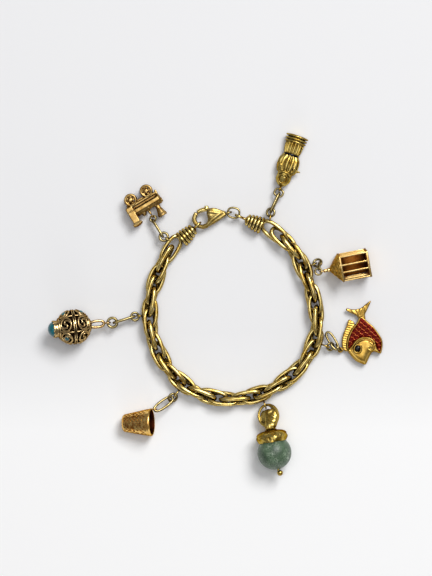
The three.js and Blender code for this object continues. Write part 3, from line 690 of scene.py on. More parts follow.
def cap_shapes(face, loop, link):
    """An end cap of five turned ribs, hollow where the end link enters, with its loop."""
    recess_radius, recess_depth, steps_per_rib = 2.15, 0.7, 10
    profile = [(recess_depth, 0), (recess_depth, recess_radius), (0.05, recess_radius + 0.12)]
    pitch = CAP["length"] / CAP["ribs"]
    for rib in range(CAP["ribs"]):
        taper = 1 - CAP["taper"] * (rib / (CAP["ribs"] - 1)) ** 2
        for step in range(steps_per_rib + 1):
            turn = math.pi * step / steps_per_rib
            along = pitch * (rib + 0.5 - 0.44 * math.cos(turn))
            swell = (CAP["rib_radius"] - CAP["groove_radius"]) * math.sin(turn) ** 0.75
            profile.append((along, taper * (CAP["groove_radius"] + swell)))
    way = Vector(loop) - Vector(face)
    neck_end, neck_radius = way.length - CAP["loop_radius"], 0.42
    profile += [(CAP["length"] + 0.02, CAP["tip_radius"]), (CAP["length"] + 0.35, 0.95),
                (CAP["length"] + 0.5, 0.5), (neck_end, neck_radius), (neck_end, 0)]
    place = dict(x=face[0], y=face[1], z=CHAIN_HEIGHT, heading=math.degrees(math.atan2(way.y, way.x)))
    body = moved(ruffled(turned(profile, steps=56), 0.03, 1.4), **place)
    ring = upright_ring(CAP["loop_radius"], CAP["loop_wire"], **{**place, "x": loop[0], "y": loop[1]})
    return [body, ring, *link_shapes(link)]


def make_chain():
    for index in range(1, CHAIN_LINKS - 1):
        piece(f"chain_link_{index:02d}", link_shapes(index), CHAIN_GOLD, [f"link_{index:02d}"])
    for name, cap in CAPS.items():
        piece(f"ribbed_{name}", cap_shapes(**cap), CHAIN_GOLD, [name])


# ------------------------------------------------------------------ clasp

HOOK_RADIUS, HOOK_WIRE, HOOK_THICKNESS = 2.78, 1.55, 1.55
CLASP_THICKNESS = 2.7
LEVER_PIVOT = dict(x=4.0, y=1.9)


def arc(radius, start, end, steps):
    angles = [math.radians(start + (end - start) * i / steps) for i in range(steps + 1)]
    return [Vector((radius * math.cos(a), radius * math.sin(a), 0)) for a in angles]


def clasp_outline():
    """From the hook's tip round the outside to the eye, and back round the hole."""
    tip_turn = 119
    outer = arc(HOOK_RADIUS + HOOK_WIRE / 2, tip_turn + 6, 292, 26)
    lower = smooth_line([(1.4, -3.1), (3.2, -2.75), (5.6, -1.9), (7.4, -1.2), (8.5, -0.75)], 4)
    upper = smooth_line([(8.5, 0.75), (7.4, 1.35), (6.2, 2.1), (4.9, 2.85), (3.6, 3.1), (2.5, 2.75),
                         (1.85, 1.9), (1.75, 1.2)], 4)
    inner = arc(HOOK_RADIUS - HOOK_WIRE / 2, 20, tip_turn + 5 - 360, 34)
    tip = arc(HOOK_RADIUS, tip_turn, tip_turn, 1)[0]
    return [*outer, *lower, *upper, *inner, tip]


def clasp_rise(x, y, depth):
    """The hook is a thinner wire than the body, which swells and carries a raised leaf."""
    turn = math.degrees(math.atan2(y, x)) % 360
    share = max(0.0, min(1.0, (turn - 215) / 100)) if turn > 100 else 1.0
    swell = HOOK_THICKNESS + (CLASP_THICKNESS - HOOK_THICKNESS) * share * share * (3 - 2 * share)
    swell *= 1 - 0.35 * max(0.0, min(1.0, (x - 4.5) / 4))
    rounded = dome(depth, min(1.3, swell / 2), 1.0)
    leaf = 0.1 * math.cos(3.6 * (abs(y - 0.4) + 0.42 * x - 1.0)) * share if x > 1.5 else 0.0
    return swell / 2 * (0.35 + 0.65 * rounded) - 0.3 + leaf * rounded


def make_clasp():
    body = domed(clasp_outline(), 0.6, clasp_rise, grain=0.12)
    lever_slot = block((0.5, 5.3), (0.72, 4.6), (-0.8, 0.8), edge=0.05, segments=1)
    body = cut(body, lever_slot)
    pin = moved(turned([(-1.3, 0), (-1.3, 0.34), (-1.2, 0.4), (1.2, 0.4), (1.3, 0.34), (1.3, 0)], 20),
                pitch=90, **LEVER_PIVOT)
    eye = upright_ring(1.05, 0.72, x=9.27)
    piece("clasp_hook_and_body", [body, pin, eye], CHASED_GOLD, ["clasp_body"], "clasp")
    arm = strap([(-1.3, 2.5), (0.2, 2.98), (1.7, 2.95), (2.9, 2.5), (3.7, 2.0)], 0.75, 0.72, sides=14)
    boss = moved(turned([(-0.55, 0.55), (-0.55, 0.9), (-0.45, 1.0), (0.45, 1.0), (0.55, 0.9),
                         (0.55, 0.55)], 32, closed=True), pitch=90, **LEVER_PIVOT)
    nub = horn([(2.1, 3.0), (2.25, 3.4), (2.4, 3.8), (2.48, 4.1)], 1.0, 0.4, X_AXIS, sides=14)
    lever = cast([arm, boss, nub], grain=0.1, rounds=2)
    piece("clasp_thumb_lever", [lever], CHAIN_GOLD, ["clasp_lever"], "clasp", body="lever")
    piece("clasp_jump_ring", [wire_ring(**CLASP_RING)], WIRE_GOLD, ["clasp_ring"])


# ------------------------------------------------------------------ rings that charms hang by


def make_hangers():
    for node, rows in HANGERS.items():
        for number, row in enumerate(rows, 1):
            ring = dict(zip(RING_COLUMNS, row))
            for size in ("length", "width", "wire"):
                ring[size] += RING_FULLNESS
            piece(f"{node.removesuffix('_hanger')}_ring_{number}", [wire_ring(**ring)], WIRE_GOLD,
                  [node])


# ------------------------------------------------------------------ locomotive

HALF_GAUGE, WHEEL_RADIUS, WHEEL_Y = 2.7, 2.3, 4.35


def cast_wheel(radius, side):
    """A domed wheel about the Z axis: a disc with flange, tread and hub, pierced by small holes."""
    disc = moved(turned([(-0.4, 0), (-0.4, radius), (-0.15, radius), (-0.05, radius - 0.14),
                         (0.3, radius - 0.18), (0.5, radius - 0.4), (0.42, radius - 0.75),
                         (0.16, radius - 0.95), (0.22, 0.95), (0.42, 0.8), (0.66, 0.6), (0.72, 0.3),
                         (0.72, 0)], 48), pitch=-90)
    holes, hole_ring = 5, 1.25
    for hole in range(holes):
        turn = FULL_TURN * hole / holes + 0.4
        disc = cut(disc, moved(rod(-1, 1, 0.4, 14), x=hole_ring * math.cos(turn),
                               y=hole_ring * math.sin(turn), pitch=90))
    return moved(disc, roll=180) if side < 0 else disc


def engine_body():
    """Boiler, side tanks, frame and cab."""
    boiler = turned([(-0.3, 0), (-0.3, 1.75), (0.5, 1.8), (0.55, 1.92), (1.0, 1.92), (1.05, 1.8),
                     (4.6, 1.8), (4.65, 1.9), (5.0, 1.9), (5.05, 1.8), (8.6, 1.8), (8.65, 1.93),
                     (9.5, 1.93), (9.8, 1.7), (9.85, 1.2), (10.0, 0.9), (10.05, 0)], 40)
    tanks = [block((-0.1, 9.3), (-0.6, 0.75), z_span, edge=0.16)
             for z_span in ((1.2, HALF_GAUGE - 0.35), (0.35 - HALF_GAUGE, -1.2))]
    # Slabs as (x span, y span, inset from the gauge, edge, steps round an edge): sill, footboard,
    # frame, buffer beam, cab and the seam round the cab.
    slabs = [block(x_span, y_span, (inset - HALF_GAUGE, HALF_GAUGE - inset), edge, segments)
             for x_span, y_span, inset, edge, segments in (
                 ((-0.1, 9.3), (0.6, 2.0), 1.32, 0.14, 2), ((-2.6, 9.5), (1.9, 2.55), 0.4, 0.14, 2),
                 ((-1.9, 8.6), (2.5, 3.3), 1.2, 0.15, 2), ((9.2, 9.9), (1.45, 3.15), 0.35, 0.18, 2),
                 ((-2.8, -0.3), (-4.2, 2.5), 0.3, 0.28, 3), ((-3.0, -0.1), (0.75, 1.05), 0.18, 0.1, 2))]
    roof_line = [Vector((-1.55, -4.3 + 0.07 * z * z, z))
                 for z in (-2.6, -1.9, -0.9, 0.0, 0.9, 1.9, 2.6)]
    return [boiler, *tanks, *slabs, swept(roof_line, (0.5, 1.8), up=X_AXIS, sides=16)]


def engine_fittings():
    """Chimney, steam dome and a post that carries the eye, all on the boiler, and the lamp."""
    upright = [moved(turned(profile, steps), x=x, y=-1.6, heading=-90) for x, steps, profile in (
        (7.5, 36, [(-0.4, 0), (-0.4, 1.05), (0.1, 1.0), (0.4, 0.82), (1.4, 0.92), (2.6, 1.25),
                   (3.5, 1.5), (3.7, 1.68), (4.0, 1.52), (4.15, 1.68), (4.4, 1.62), (4.45, 1.4),
                   (4.3, 1.2), (3.3, 0.95), (3.2, 0)]),
        (2.2, 28, [(-0.4, 0), (-0.4, 1.0), (0.1, 0.92), (0.5, 0.86), (0.9, 0.7), (1.2, 0.42),
                   (1.35, 0)]),
        (4.1, 20, [(-0.3, 0), (-0.3, 0.75), (0.2, 0.6), (0.6, 0.42), (1.7, 0.42), (1.9, 0)]))]
    eye = moved(wire_ring(2.0, 2.0, 0.56, steps=32, sides=10), x=4.1, y=-4.2, pitch=90)
    lamp = moved(turned([(0, 0), (0, 0.62), (0.8, 0.8), (0.95, 0.78), (0.95, 0.62), (0.7, 0.5),
                         (0.65, 0)], 28), x=9.25, y=-0.9)
    return [*upright, eye, lamp]


def running_gear():
    """Two axles, each with its bearing block and a wheel at either end."""
    shapes = []
    for x in (0.5, 6.8):
        axle = moved(rod(0.2 - HALF_GAUGE, HALF_GAUGE - 0.2, 0.42), x=x, y=WHEEL_Y, pitch=90)
        wheels = [moved(cast_wheel(WHEEL_RADIUS, side), x=x, y=WHEEL_Y, z=side * (HALF_GAUGE - 0.68))
                  for side in (-1, 1)]
        shapes += [axle, block((x - 0.7, x + 0.7), (3.0, 4.6), (-1.3, 1.3), edge=0.15), *wheels]
    return shapes


def make_locomotive():
    """A side tank engine, cast: local -Y is its top, and its wheels hang at +Y."""
    shapes = engine_body() + engine_fittings() + running_gear()
    piece("locomotive_cast", [cast(shapes)], CAST_GOLD, ["locomotive"], "locomotive")


# ------------------------------------------------------------------ figure


def fluted(shape, start, end, count, depth):
    """Lengthwise flutes round a turned shape, between two places along it."""
    for vert in shape.verts:
        share = (vert.co.x - start) / (end - start)
        if 0 < share < 1:
            turn = math.atan2(vert.co.z, vert.co.y)
            fade = math.sin(math.pi * share) ** 0.3
            ridge = abs(math.sin(turn * count / 2)) ** 0.8
            scale = 1 - depth * fade * (1 - ridge)
            vert.co.y *= scale
            vert.co.z *= scale
    return shape


def calm_face(radius):
    """A head that faces +Z, its crown towards -X: plain proportions, eyes closed, mouth level."""
    shape = bmesh.new()
    bmesh.ops.create_uvsphere(shape, u_segments=72, v_segments=48, radius=1)
    # Features as (x down the face, y across, height, spread x, spread y), in head radii.
    features = [
        (0.02, 0.0, 0.10, 0.30, 0.10), (0.20, 0.0, 0.16, 0.10, 0.12), (-0.12, 0.0, 0.04, 0.10, 0.45),
        (0.02, 0.33, -0.10, 0.14, 0.17), (0.02, -0.33, -0.10, 0.14, 0.17),
        (0.03, 0.33, 0.075, 0.07, 0.11), (0.03, -0.33, 0.075, 0.07, 0.11),
        (0.40, 0.0, 0.06, 0.05, 0.20), (0.45, 0.0, -0.05, 0.025, 0.22), (0.50, 0.0, 0.06, 0.05, 0.16),
        (0.74, 0.0, 0.09, 0.14, 0.20), (0.3, 0.45, 0.05, 0.22, 0.16), (0.3, -0.45, 0.05, 0.22, 0.16),
    ]
    for vert in shape.verts:
        x, y = vert.co.x, vert.co.y
        if vert.co.z > 0:
            vert.co.z += sum(h * math.exp(-((x - cx) / sx) ** 2 - ((y - cy) / sy) ** 2)
                             for cx, cy, h, sx, sy in features)
    bmesh.ops.scale(shape, vec=(radius * 1.12, radius * 0.86, radius * 0.9), verts=shape.verts)
    return shape


# How flat each part of the figure is: its base less than its cloak, to stay above the table.
CLOAK_PRESS, BASE_PRESS, HOOD_PRESS = (Matrix.Scale(flat, 4, Z_AXIS) for flat in (0.7, 0.64, 0.78))


def rolled_base():
    """The base under the skirt, of three rolls, each wider than the one before."""
    profile = [(15.9, 0), (15.95, 2.75)]
    rolls, roll_pitch, roll_steps = 3, 0.98, 8
    for roll in range(rolls):
        for step in range(roll_steps + 1):
            turn = math.pi * step / roll_steps
            profile.append((16.1 + roll_pitch * (roll + 0.5 - 0.4 * math.cos(turn)),
                            2.85 + 0.12 * roll + 0.95 * math.sin(turn)))
    return moved(turned(profile + [(19.05, 2.6), (18.7, 0)], 72), matrix=BASE_PRESS)


def cloak():
    """Bodice, skirt and base, with a cloak edge down each side, a collar that crosses the chest
    aslant, a sleeve folded over each side, and a spike that stands out at one side."""
    bodice = fluted(turned([(3.9, 0), (4.1, 1.6), (4.6, 2.3), (5.2, 2.75), (6.2, 3.15), (7.2, 3.45),
                            (8.2, 3.6), (9.2, 3.65), (10.0, 3.5), (10.7, 3.15), (11.3, 2.75),
                            (11.7, 2.5), (11.75, 0)], 112), 5.6, 11.9, 11, 0.3)
    skirt = fluted(turned([(12.05, 0), (12.1, 2.5), (12.5, 2.75), (13.2, 2.85), (14.4, 2.9),
                           (15.6, 2.95), (16.2, 2.9), (16.25, 0)], 128), 11.8, 16.6, 13, 0.34)
    edges = [strap([(5.2, 2.9 * side, 0.3), (7.5, 3.55 * side, 0.2), (10, 3.4 * side, 0.1),
                    (11.9, 2.45 * side, 0.1), (13.5, 2.8 * side, 0.0), (16.0, 3.1 * side, 0.0)],
                   0.3, 0.6, 3) for side in (-1, 1)]
    collar = strap([(4.2, -2.3, 0.6), (4.9, -1.5, 1.75), (5.4, -0.2, 2.1), (5.2, 1.1, 1.95),
                    (4.4, 2.2, 0.8)], 0.42, 0.55, 3, per_span=6)
    sleeves = [strap([(5.4, 2.5 * side, 0.7), (6.6, 2.75 * side, 1.2), (7.8, 2.3 * side, 1.75)],
                     0.6, 0.5, 3, sides=14) for side in (-1, 1)]
    spike = horn([(6.6, -2.6, 0.2), (6.7, -3.4, 0.1), (6.95, -4.2, 0), (7.0, -4.85, 0)], 0.55, 0.33)
    return [moved(bodice, matrix=CLOAK_PRESS), moved(skirt, matrix=CLOAK_PRESS), rolled_base(),
            *edges, collar, *sleeves, spike]


def hooded_head():
    """A head in a hood with a rolled hem, and the stem and eye that it hangs by."""
    hood = moved(turned([(0.15, 0), (0.3, 0.5), (0.8, 1.3), (1.5, 2.0), (2.3, 2.5), (3.0, 2.66),
                         (3.7, 2.62), (4.3, 2.5), (4.9, 2.55), (5.4, 2.5), (5.6, 0)], 72),
                 matrix=HOOD_PRESS)
    hood = cut(hood, ball(1.7, 40, 24, squash=0.7, x=3.1, y=0.2, z=2.6))
    steps = 26
    hem = [Vector((3.0 + 1.6 * math.cos(a), 0.2 + 1.55 * math.sin(a), 1.72 + 0.12 * math.cos(2 * a)))
           for a in (FULL_TURN * (0.1 + 0.8 * i / steps) for i in range(steps + 1))]
    stem = turned([(-0.35, 0), (-0.3, 0.34), (0.2, 0.4), (0.7, 0.7), (0.75, 0)], 20)
    head = moved(calm_face(1.72), x=2.95, y=0.2, z=0.85)
    return [head, hood, swept(hem, round_ends(len(hem), 0.24, 0.34)), stem,
            upright_ring(0.72, 0.56, x=-0.7)]


def make_figure():
    """A cloaked figure that hangs head down, cast: local -X is its top and +Z its front."""
    piece("figure_cast", [cast(cloak(), grain=0.11)], MODELLED_GOLD, ["figure"], "figure")
    piece("figure_head_and_hood", hooded_head(), MODELLED_GOLD, ["figure"], "figure")
    belt = turned([(11.55, 2.0), (11.55, 2.62), (11.65, 2.7), (12.05, 2.7), (12.15, 2.62),
                   (12.15, 2.0)], 72, closed=True)
    piece("figure_belt", [moved(belt, matrix=CLOAK_PRESS)], BLACK_ENAMEL, ["figure"], "figure")


# ------------------------------------------------------------------ cage

# Where the cage's eave and end are, half its width, and how thick its walls and floor are.
CAGE_EAVE, CAGE_END, CAGE_HALF, CAGE_WALL, FLOOR_DEPTH = 4.0, 14.2, 4.55, 0.7, 0.75
CAGE_INNER = CAGE_HALF - CAGE_WALL


def cage_bars():
    """Corner posts, two bars on each of three faces, a rim at each end, the finial and its eye."""
    bar_pitch, bar_half, long_span = 2.5, 0.28, (CAGE_EAVE, CAGE_END - 0.1)
    bars = []
    for y in (-1, 1):
        for z in (-1, 1):
            spans = [sorted((side * (CAGE_HALF - 0.1), side * (CAGE_HALF - 0.6))) for side in (y, z)]
            bars.append(block(long_span, *spans, edge=0.14))
    for turn in (-90, 0, 90):
        for offset in (-bar_pitch / 2, bar_pitch / 2):
            rail = block(long_span, (offset - bar_half, offset + bar_half),
                         (CAGE_INNER - 0.15, CAGE_HALF - 0.15), edge=0.12)
            bars.append(moved(rail, roll=turn))
    rims = [block(x_span, (-half, half), (-half, half), edge) for x_span, half, edge in (
        ((CAGE_EAVE - 0.1, CAGE_EAVE + 0.55), CAGE_HALF, 0.16),
        ((CAGE_END - FLOOR_DEPTH, CAGE_END), CAGE_HALF + 0.05, 0.2))]
    finial = turned([(-1.95, 0), (-1.9, 0.5), (-1.6, 0.7), (-1.2, 0.55), (-0.8, 0.5), (-0.5, 0.72),
                     (-0.1, 0.78), (0.3, 0.6), (0.6, 0.5), (0.7, 0)], 28)
    return [*bars, *rims, finial, upright_ring(0.72, 0.54, x=-2.6)]


def cage_inside():
    """The closed face that the cage lies on, and the linings of its roof and floor, all painted dark
    brown for the shade inside the cage.
    """
    square, floor_top = (-CAGE_INNER, CAGE_INNER), CAGE_END - FLOOR_DEPTH
    back = block((CAGE_EAVE, CAGE_END - 0.2), square, (0.1 - CAGE_HALF, 0.4 - CAGE_HALF), edge=0.1)
    linings = [block(x_span, square, square, edge=0.05)
               for x_span in ((CAGE_EAVE + 0.5, CAGE_EAVE + 0.7), (floor_top - 0.15, floor_top + 0.05))]
    return [back, *linings]


def pyramid_roof():
    """The roof, cut into small faces and beaten uneven."""
    roof = bmesh.new()
    bmesh.ops.create_cone(roof, cap_ends=True, segments=4, radius1=(CAGE_HALF + 0.1) * math.sqrt(2),
                          radius2=0.55, depth=CAGE_EAVE)
    moved(roof, heading=45)
    moved(roof, matrix=place_of(x=CAGE_EAVE / 2) @ place_of(pitch=-90))
    bmesh.ops.bevel(roof, geom=roof.edges[:], offset=0.14, segments=2, profile=0.5, affect="EDGES",
                    material=-1)
    bmesh.ops.triangulate(roof, faces=[f for f in roof.faces if len(f.verts) > 4])
    bmesh.ops.subdivide_edges(roof, edges=[e for e in roof.edges if e.calc_length() > 1], cuts=14,
                              use_grid_fill=True)
    return ruffled(roof, 0.16, 0.6, 5.0)


def make_cage():
    """A square cage with a pyramid roof. It lies on a closed face, and three faces are barred.
    The closed face and the linings inside are painted dark brown for the shade inside.
    """
    piece("cage_bars", cage_bars(), SHEET_GOLD, ["cage"], "cage")
    piece("cage_closed_back", cage_inside(), CAGE_SHADE_GOLD, ["cage"], "cage")
    piece("cage_roof", [pyramid_roof()], HAMMERED_GOLD, ["cage"], "cage")


# ------------------------------------------------------------------ fish

FISH_BODY = [(-0.2, -0.6), (1.6, -2.3), (3.4, -4.5), (5.6, -6.3), (8.0, -7.45), (10.1, -7.75),
             (12.2, -7.0), (14.4, -5.75), (15.7, -4.3), (16.5, -2.75), (15.6, -1.75), (14.0, -0.55),
             (12.9, 0.55), (12.9, 1.4), (13.5, 2.4), (14.1, 3.4), (12.8, 4.2), (11.0, 4.85),
             (9.2, 4.95), (7.2, 4.35), (4.5, 3.2), (2.2, 1.6), (0.4, 0.4)]
FISH_ENAMEL = [(0.3, -0.5), (1.8, -2.1), (3.6, -4.3), (5.8, -6.05), (8.1, -7.15), (10.0, -7.4),
               (9.3, -6.0), (8.1, -4.6), (7.3, -3.0), (7.2, -1.35), (7.6, 0.1), (8.4, 1.3),
               (9.6, 2.1), (11.0, 2.35), (12.5, 2.6), (13.6, 3.3), (12.6, 3.95), (11.0, 4.6),
               (9.3, 4.7), (7.4, 4.1), (4.7, 2.95), (2.4, 1.35)]
FISH_HEAD = [(10.2, -7.6), (9.1, -6.1), (7.85, -4.75), (6.95, -3.2), (6.75, -1.35), (7.2, 0.3),
             (7.95, 1.6), (9.2, 2.45), (10.7, 2.6), (12.2, 2.7), (13.5, 3.3), (13.6, 2.5),
             (12.9, 1.4), (12.8, 0.6), (13.9, -0.5), (15.5, -1.8), (16.4, -2.75), (15.6, -4.25),
             (14.3, -5.65), (12.2, -6.9)]
FISH_TAIL = [(1.2, -0.9), (1.2, 0.9), (-0.6, 1.3), (-2.4, 2.7), (-4.7, 4.4), (-4.1, 2.5), (-3.2, 0.7),
             (-3.0, -1.0), (-3.4, -2.9), (-4.1, -4.4), (-3.5, -4.9), (-2.1, -3.4), (-0.8, -1.7)]
FISH_FIN = [(-0.1, -4.75), (1.3, -3.1), (2.4, -3.3), (3.9, -4.6), (5.9, -6.2), (8.2, -7.3),
            (10.4, -7.6), (10.3, -8.6), (8.9, -9.25), (6.6, -8.8), (4.3, -7.75), (1.9, -6.0)]
FISH_EYE = dict(x=10.5, y=-4.15)
SCALE = dict(radius=1.2, across=1.75, along=1.22, rows=12, columns=7, first=0.6, middle=-1.3)


def scale_at(x, y):
    """How far out on its scale a point is, from 0 in the middle to 1 at the free edge. Every
    scale overlaps the next row towards the tail."""
    for row in reversed(range(SCALE["rows"])):
        for column in range(-SCALE["columns"], SCALE["columns"]):
            middle_y = SCALE["middle"] + (column + row % 2 / 2) * SCALE["across"]
            bow = 0.025 * (middle_y - SCALE["middle"]) ** 2
            middle_x = SCALE["first"] + row * SCALE["along"] + bow
            out = math.hypot(x - middle_x, y - middle_y) / SCALE["radius"]
            if out < 1:
                return out
    return 0.0


def enamel_rise(x, y, depth):
    edge = max(0.0, (scale_at(x, y) - 0.76) / 0.24)
    shown = min(1.0, depth / 0.5)
    return dome(depth, 0.9, 0.5) + 0.12 * edge * shown, edge * shown * (1 - 0.35 * (depth > 3.2))


def head_rise(x, y, depth):
    """A full cheek inside a raised rim, with a dished socket round the eye and a parted mouth."""
    rim = 0.2 * math.exp(-((depth - 0.4) / 0.3) ** 2)
    groove = -0.34 * math.exp(-((depth - 1.05) / 0.3) ** 2) * (x < 10.5)
    from_eye = math.hypot(x - FISH_EYE["x"], y - FISH_EYE["y"])
    socket = -0.35 * math.exp(-(from_eye / 1.5) ** 2)
    return dome(depth, 2.8, 1.15) + rim + groove + socket


def fin_rise(x, y, depth):
    along = x * 0.9 - y * 0.42
    return dome(depth, 0.3, 0.14) + 0.12 * abs(math.sin(math.pi * along / 0.8)) * min(1, depth / 0.4)


def tail_rise(x, y, depth):
    spread = math.atan2(y, 3.2 - x)
    return dome(depth, 0.6, 0.3) + 0.08 * math.cos(spread * 30) * min(1, depth / 0.3)


def make_fish():
    """An enamelled fish, alike on both sides: its head at +X and its back at -Y."""
    enamel = domed(FISH_ENAMEL, 1.6, enamel_rise, grain=0.12, edge_layer="scale_edge")
    piece("fish_red_enamel", [enamel], RED_ENAMEL, ["fish"], "fish")
    rim_plate = domed(FISH_BODY, 1.5, lambda x, y, depth: dome(depth, 0.4, 0.3) - 0.1 * (depth > 0.5))
    head = domed(FISH_HEAD, 1.5, head_rise, grain=0.12)
    tail = domed(FISH_TAIL, 0.6, tail_rise)
    fin = domed(FISH_FIN, 0.6, fin_rise, grain=0.12)
    trims = []
    # Wires on the face as (points, wire, height): the two lips, and the curl behind the mouth.
    for points, wire, height in (
            ([(12.2, 0.4), (13.4, -0.5), (14.7, -1.6), (16.1, -2.7)], 0.6, 1.1),
            ([(12.1, 0.5), (12.4, 1.6), (13.0, 2.5), (13.8, 3.3)], 0.6, 1.1),
            ([(9.1, 0.2), (10.2, 1.3), (11.6, 1.2), (12.1, 0.2), (11.4, -0.6), (10.5, -0.2)],
             0.55, 1.75)):
        raised = [(x, y, height) for x, y in points]
        trims += both_sides(lambda: strap(raised, wire / 2, wire * 0.45))
    trims += both_sides(lambda: wire_ring(3.3, 2.9, 0.52, z=1.84, heading=-25, **FISH_EYE))
    hanging_tab = block((9.2, 9.9), (-9.7, -8.4), (-0.35, 0.35), edge=0.1)
    loop = wire_ring(2.0, 2.0, 0.56, steps=32, sides=10, x=9.55, y=-10.1)
    body = cast([rim_plate, head, tail, fin, *trims])
    piece("fish_gold_body", [body, hanging_tab, loop], FISH_GOLD, ["fish"], "fish")
    pupils = both_sides(lambda: ball(1.08, 28, 16, squash=0.42, z=1.6, **FISH_EYE))
    piece("fish_eyes", pupils, BLACK_ENAMEL, ["fish"], "fish")


# ------------------------------------------------------------------ bead drop

BEAD_RADIUS, BEAD_GAP, BEAD_BORE = 5.95, 0.3, 0.75
BEAD_SEAT = BEAD_RADIUS + BEAD_GAP


def bead_cap():
    """The domed cup over the stone, its rim in fat lobes that turn a little as they run inwards."""
    seat_at = lambda radius: -math.sqrt(BEAD_SEAT ** 2 - radius ** 2)
    profile = [(-8.75, 0), (-8.75, 1.35), (-8.3, 1.75), (-7.95, 2.2), (-7.8, 3.0), (-7.6, 3.9),
               (-7.25, 4.7), (-6.7, 5.35), (-6.0, 5.7), (-5.3, 5.7), (-4.75, 5.4),
               *[(seat_at(radius), radius) for radius in (4.95, 3.4, 1.8, 0)]]
    cap = turned(profile, 144)
    lobes, swirl, plain_radius = 6, 0.4, 2.0
    for vert in cap.verts:
        radius = math.hypot(vert.co.y, vert.co.z)
        if radius > plain_radius and vert.co.x < seat_at(min(radius, 4.95)) + 1.0:
            turn = math.atan2(vert.co.z, vert.co.y) + swirl * (vert.co.x + 6)
            rim = min(1.0, (radius - plain_radius) / 2)
            dip = rim * (1 - abs(math.sin(turn * lobes / 2)) ** 0.8)
            vert.co.y *= 1 - 0.12 * dip
            vert.co.z *= 1 - 0.12 * dip
    return cap


BAIL_MIDDLE, LEAF_CREASE = -4.6, -5.0


def bail_loop():
    """A loop that is thin wire where it hangs and on one side, and swells on the other."""
    outer_length, outer_width, wire, steps = 4.3, 3.9, 0.9, 36
    line, sizes = [], []
    for step in range(steps + 1):
        turn = FULL_TURN * step / steps
        lean = (turn - 1.0 + math.pi) % FULL_TURN - math.pi
        half = wire / 2 + 1.1 * max(0.0, math.cos(0.75 * lean)) ** 1.5
        line.append(Vector((BAIL_MIDDLE + (outer_length - half) * math.cos(turn),
                            (outer_width - half) * math.sin(turn), 0)))
        sizes.append((half, half))
    return swept(line + [line[1]], sizes + [sizes[1]], sides=24)


def leaf_rise(x, y, depth):
    """Veins that run aslant to a crease down the middle of the leaf."""
    vein = math.cos(4.6 * (0.7 * abs(x - LEAF_CREASE) - 0.5 * y))
    crease = math.exp(-((x - LEAF_CREASE) / 0.22) ** 2)
    return dome(depth, 1.6, 1.0) + min(1.0, depth / 1.2) * (0.12 * vein - 0.1 * crease)


def bead_bail():
    """The bail: a loop whose hole is nearly covered by a broad veined leaf, over a ribbed neck."""
    leaf = domed([(-6.5, 0.6), (-5.6, -0.7), (-4.2, -1.1), (-2.4, -1.3), (-0.6, -1.5), (0.2, -1.0),
                  (0.2, 1.4), (-0.9, 2.4), (-2.6, 3.3), (-4.8, 3.5), (-6.3, 2.5)], 0.8, leaf_rise,
                 grain=0.12)
    back = domed([(-7.0, 0.6), (-6.8, -1.6), (-6.0, -2.6), (-4.0, -3.2), (-1.0, -2.2), (0.2, -1.4),
                  (0.2, 1.4), (-2.6, 3.0), (-5.0, 3.2)],
                 0.5, lambda x, y, depth: dome(depth, 0.8, 0.3))
    ribs = []
    for offset in (-1.2, -0.6, 0.0, 0.6, 1.2):
        height = 1.8 - 0.25 * offset ** 2
        rib = smooth_line([(0.6, offset, height), (-0.6, offset * 0.9, height + 0.15),
                           (-1.9, offset * 0.8, height)], 4)
        ribs.append(bar(rib, 0.5))
    throat = turned([(-1.6, 0), (-1.6, 1.2), (0.0, 1.75), (0.6, 1.6), (0.7, 0)], 32)
    return cast([bail_loop(), moved(leaf, z=0.7), moved(back, z=-0.9), *ribs, throat])


def make_bead():
    """A bored stone on a pin, under a lobed cap and its bail: local -X is the top."""
    edge = math.asin(BEAD_BORE / BEAD_RADIUS)
    turns = [edge + (math.pi - 2 * edge) * i / 40 for i in range(41)]
    surface = [(BEAD_RADIUS * math.cos(turn), BEAD_RADIUS * math.sin(turn)) for turn in turns]
    bore = [(-BEAD_RADIUS * 0.9, BEAD_BORE), (BEAD_RADIUS * 0.9, BEAD_BORE)]
    piece("bead_stone", [turned(surface + bore, 64, closed=True)], AVENTURINE, ["bead"], "bead")
    bail = moved(bead_bail(), x=-8.6, pitch=-12.2, roll=12)
    leaning = [moved(shape, heading=-4) for shape in (bead_cap(), bail)]
    pin = rod(-BEAD_SEAT - 0.3, BEAD_SEAT + 0.6, 0.42)
    stop = ball(1.02, 28, 18, x=BEAD_SEAT + 1.05, y=0.3)
    piece("bead_cap_and_bail", [*leaning, pin, stop], MODELLED_GOLD, ["bead_bail"], "bead")


# ------------------------------------------------------------------ thimble

THIMBLE_LENGTH, THIMBLE_CROWN, THIMBLE_WALL = 10.5, 0.9, 0.5
TIP_RADIUS, MOUTH_RADIUS, BAND_RADIUS = 3.1, 4.7, 4.82
KNURL_FIRST, KNURL_LAST, KNURL_ROWS, KNURL_COLUMNS = 1.0, 9.0, 12, 34


def thimble_radius(x):
    """The radius of the plain taper between the crown and the band."""
    taper_length = THIMBLE_LENGTH - 2.3
    return TIP_RADIUS + (MOUTH_RADIUS - TIP_RADIUS) * (x - THIMBLE_CROWN) / taper_length


def knurled(shell):
    """Every other face of the taper pressed in, row by row, so that the pits lie in diamonds. They
    are drawn about twice as coarse as a real knurl, to show at this size."""
    for face in [face for face in shell.faces
                 if KNURL_FIRST < face.calc_center_median().x < KNURL_LAST]:
        middle = face.calc_center_median()
        row = int((middle.x - KNURL_FIRST) / (KNURL_LAST - KNURL_FIRST) * KNURL_ROWS)
        share = (math.atan2(middle.z, middle.y) % FULL_TURN) / FULL_TURN
        column = round(share * KNURL_COLUMNS - 0.5)
        if (row + column) % 2 == 0:
            bmesh.ops.inset_individual(shell, faces=[face], thickness=0.11, depth=-0.21)
    return shell


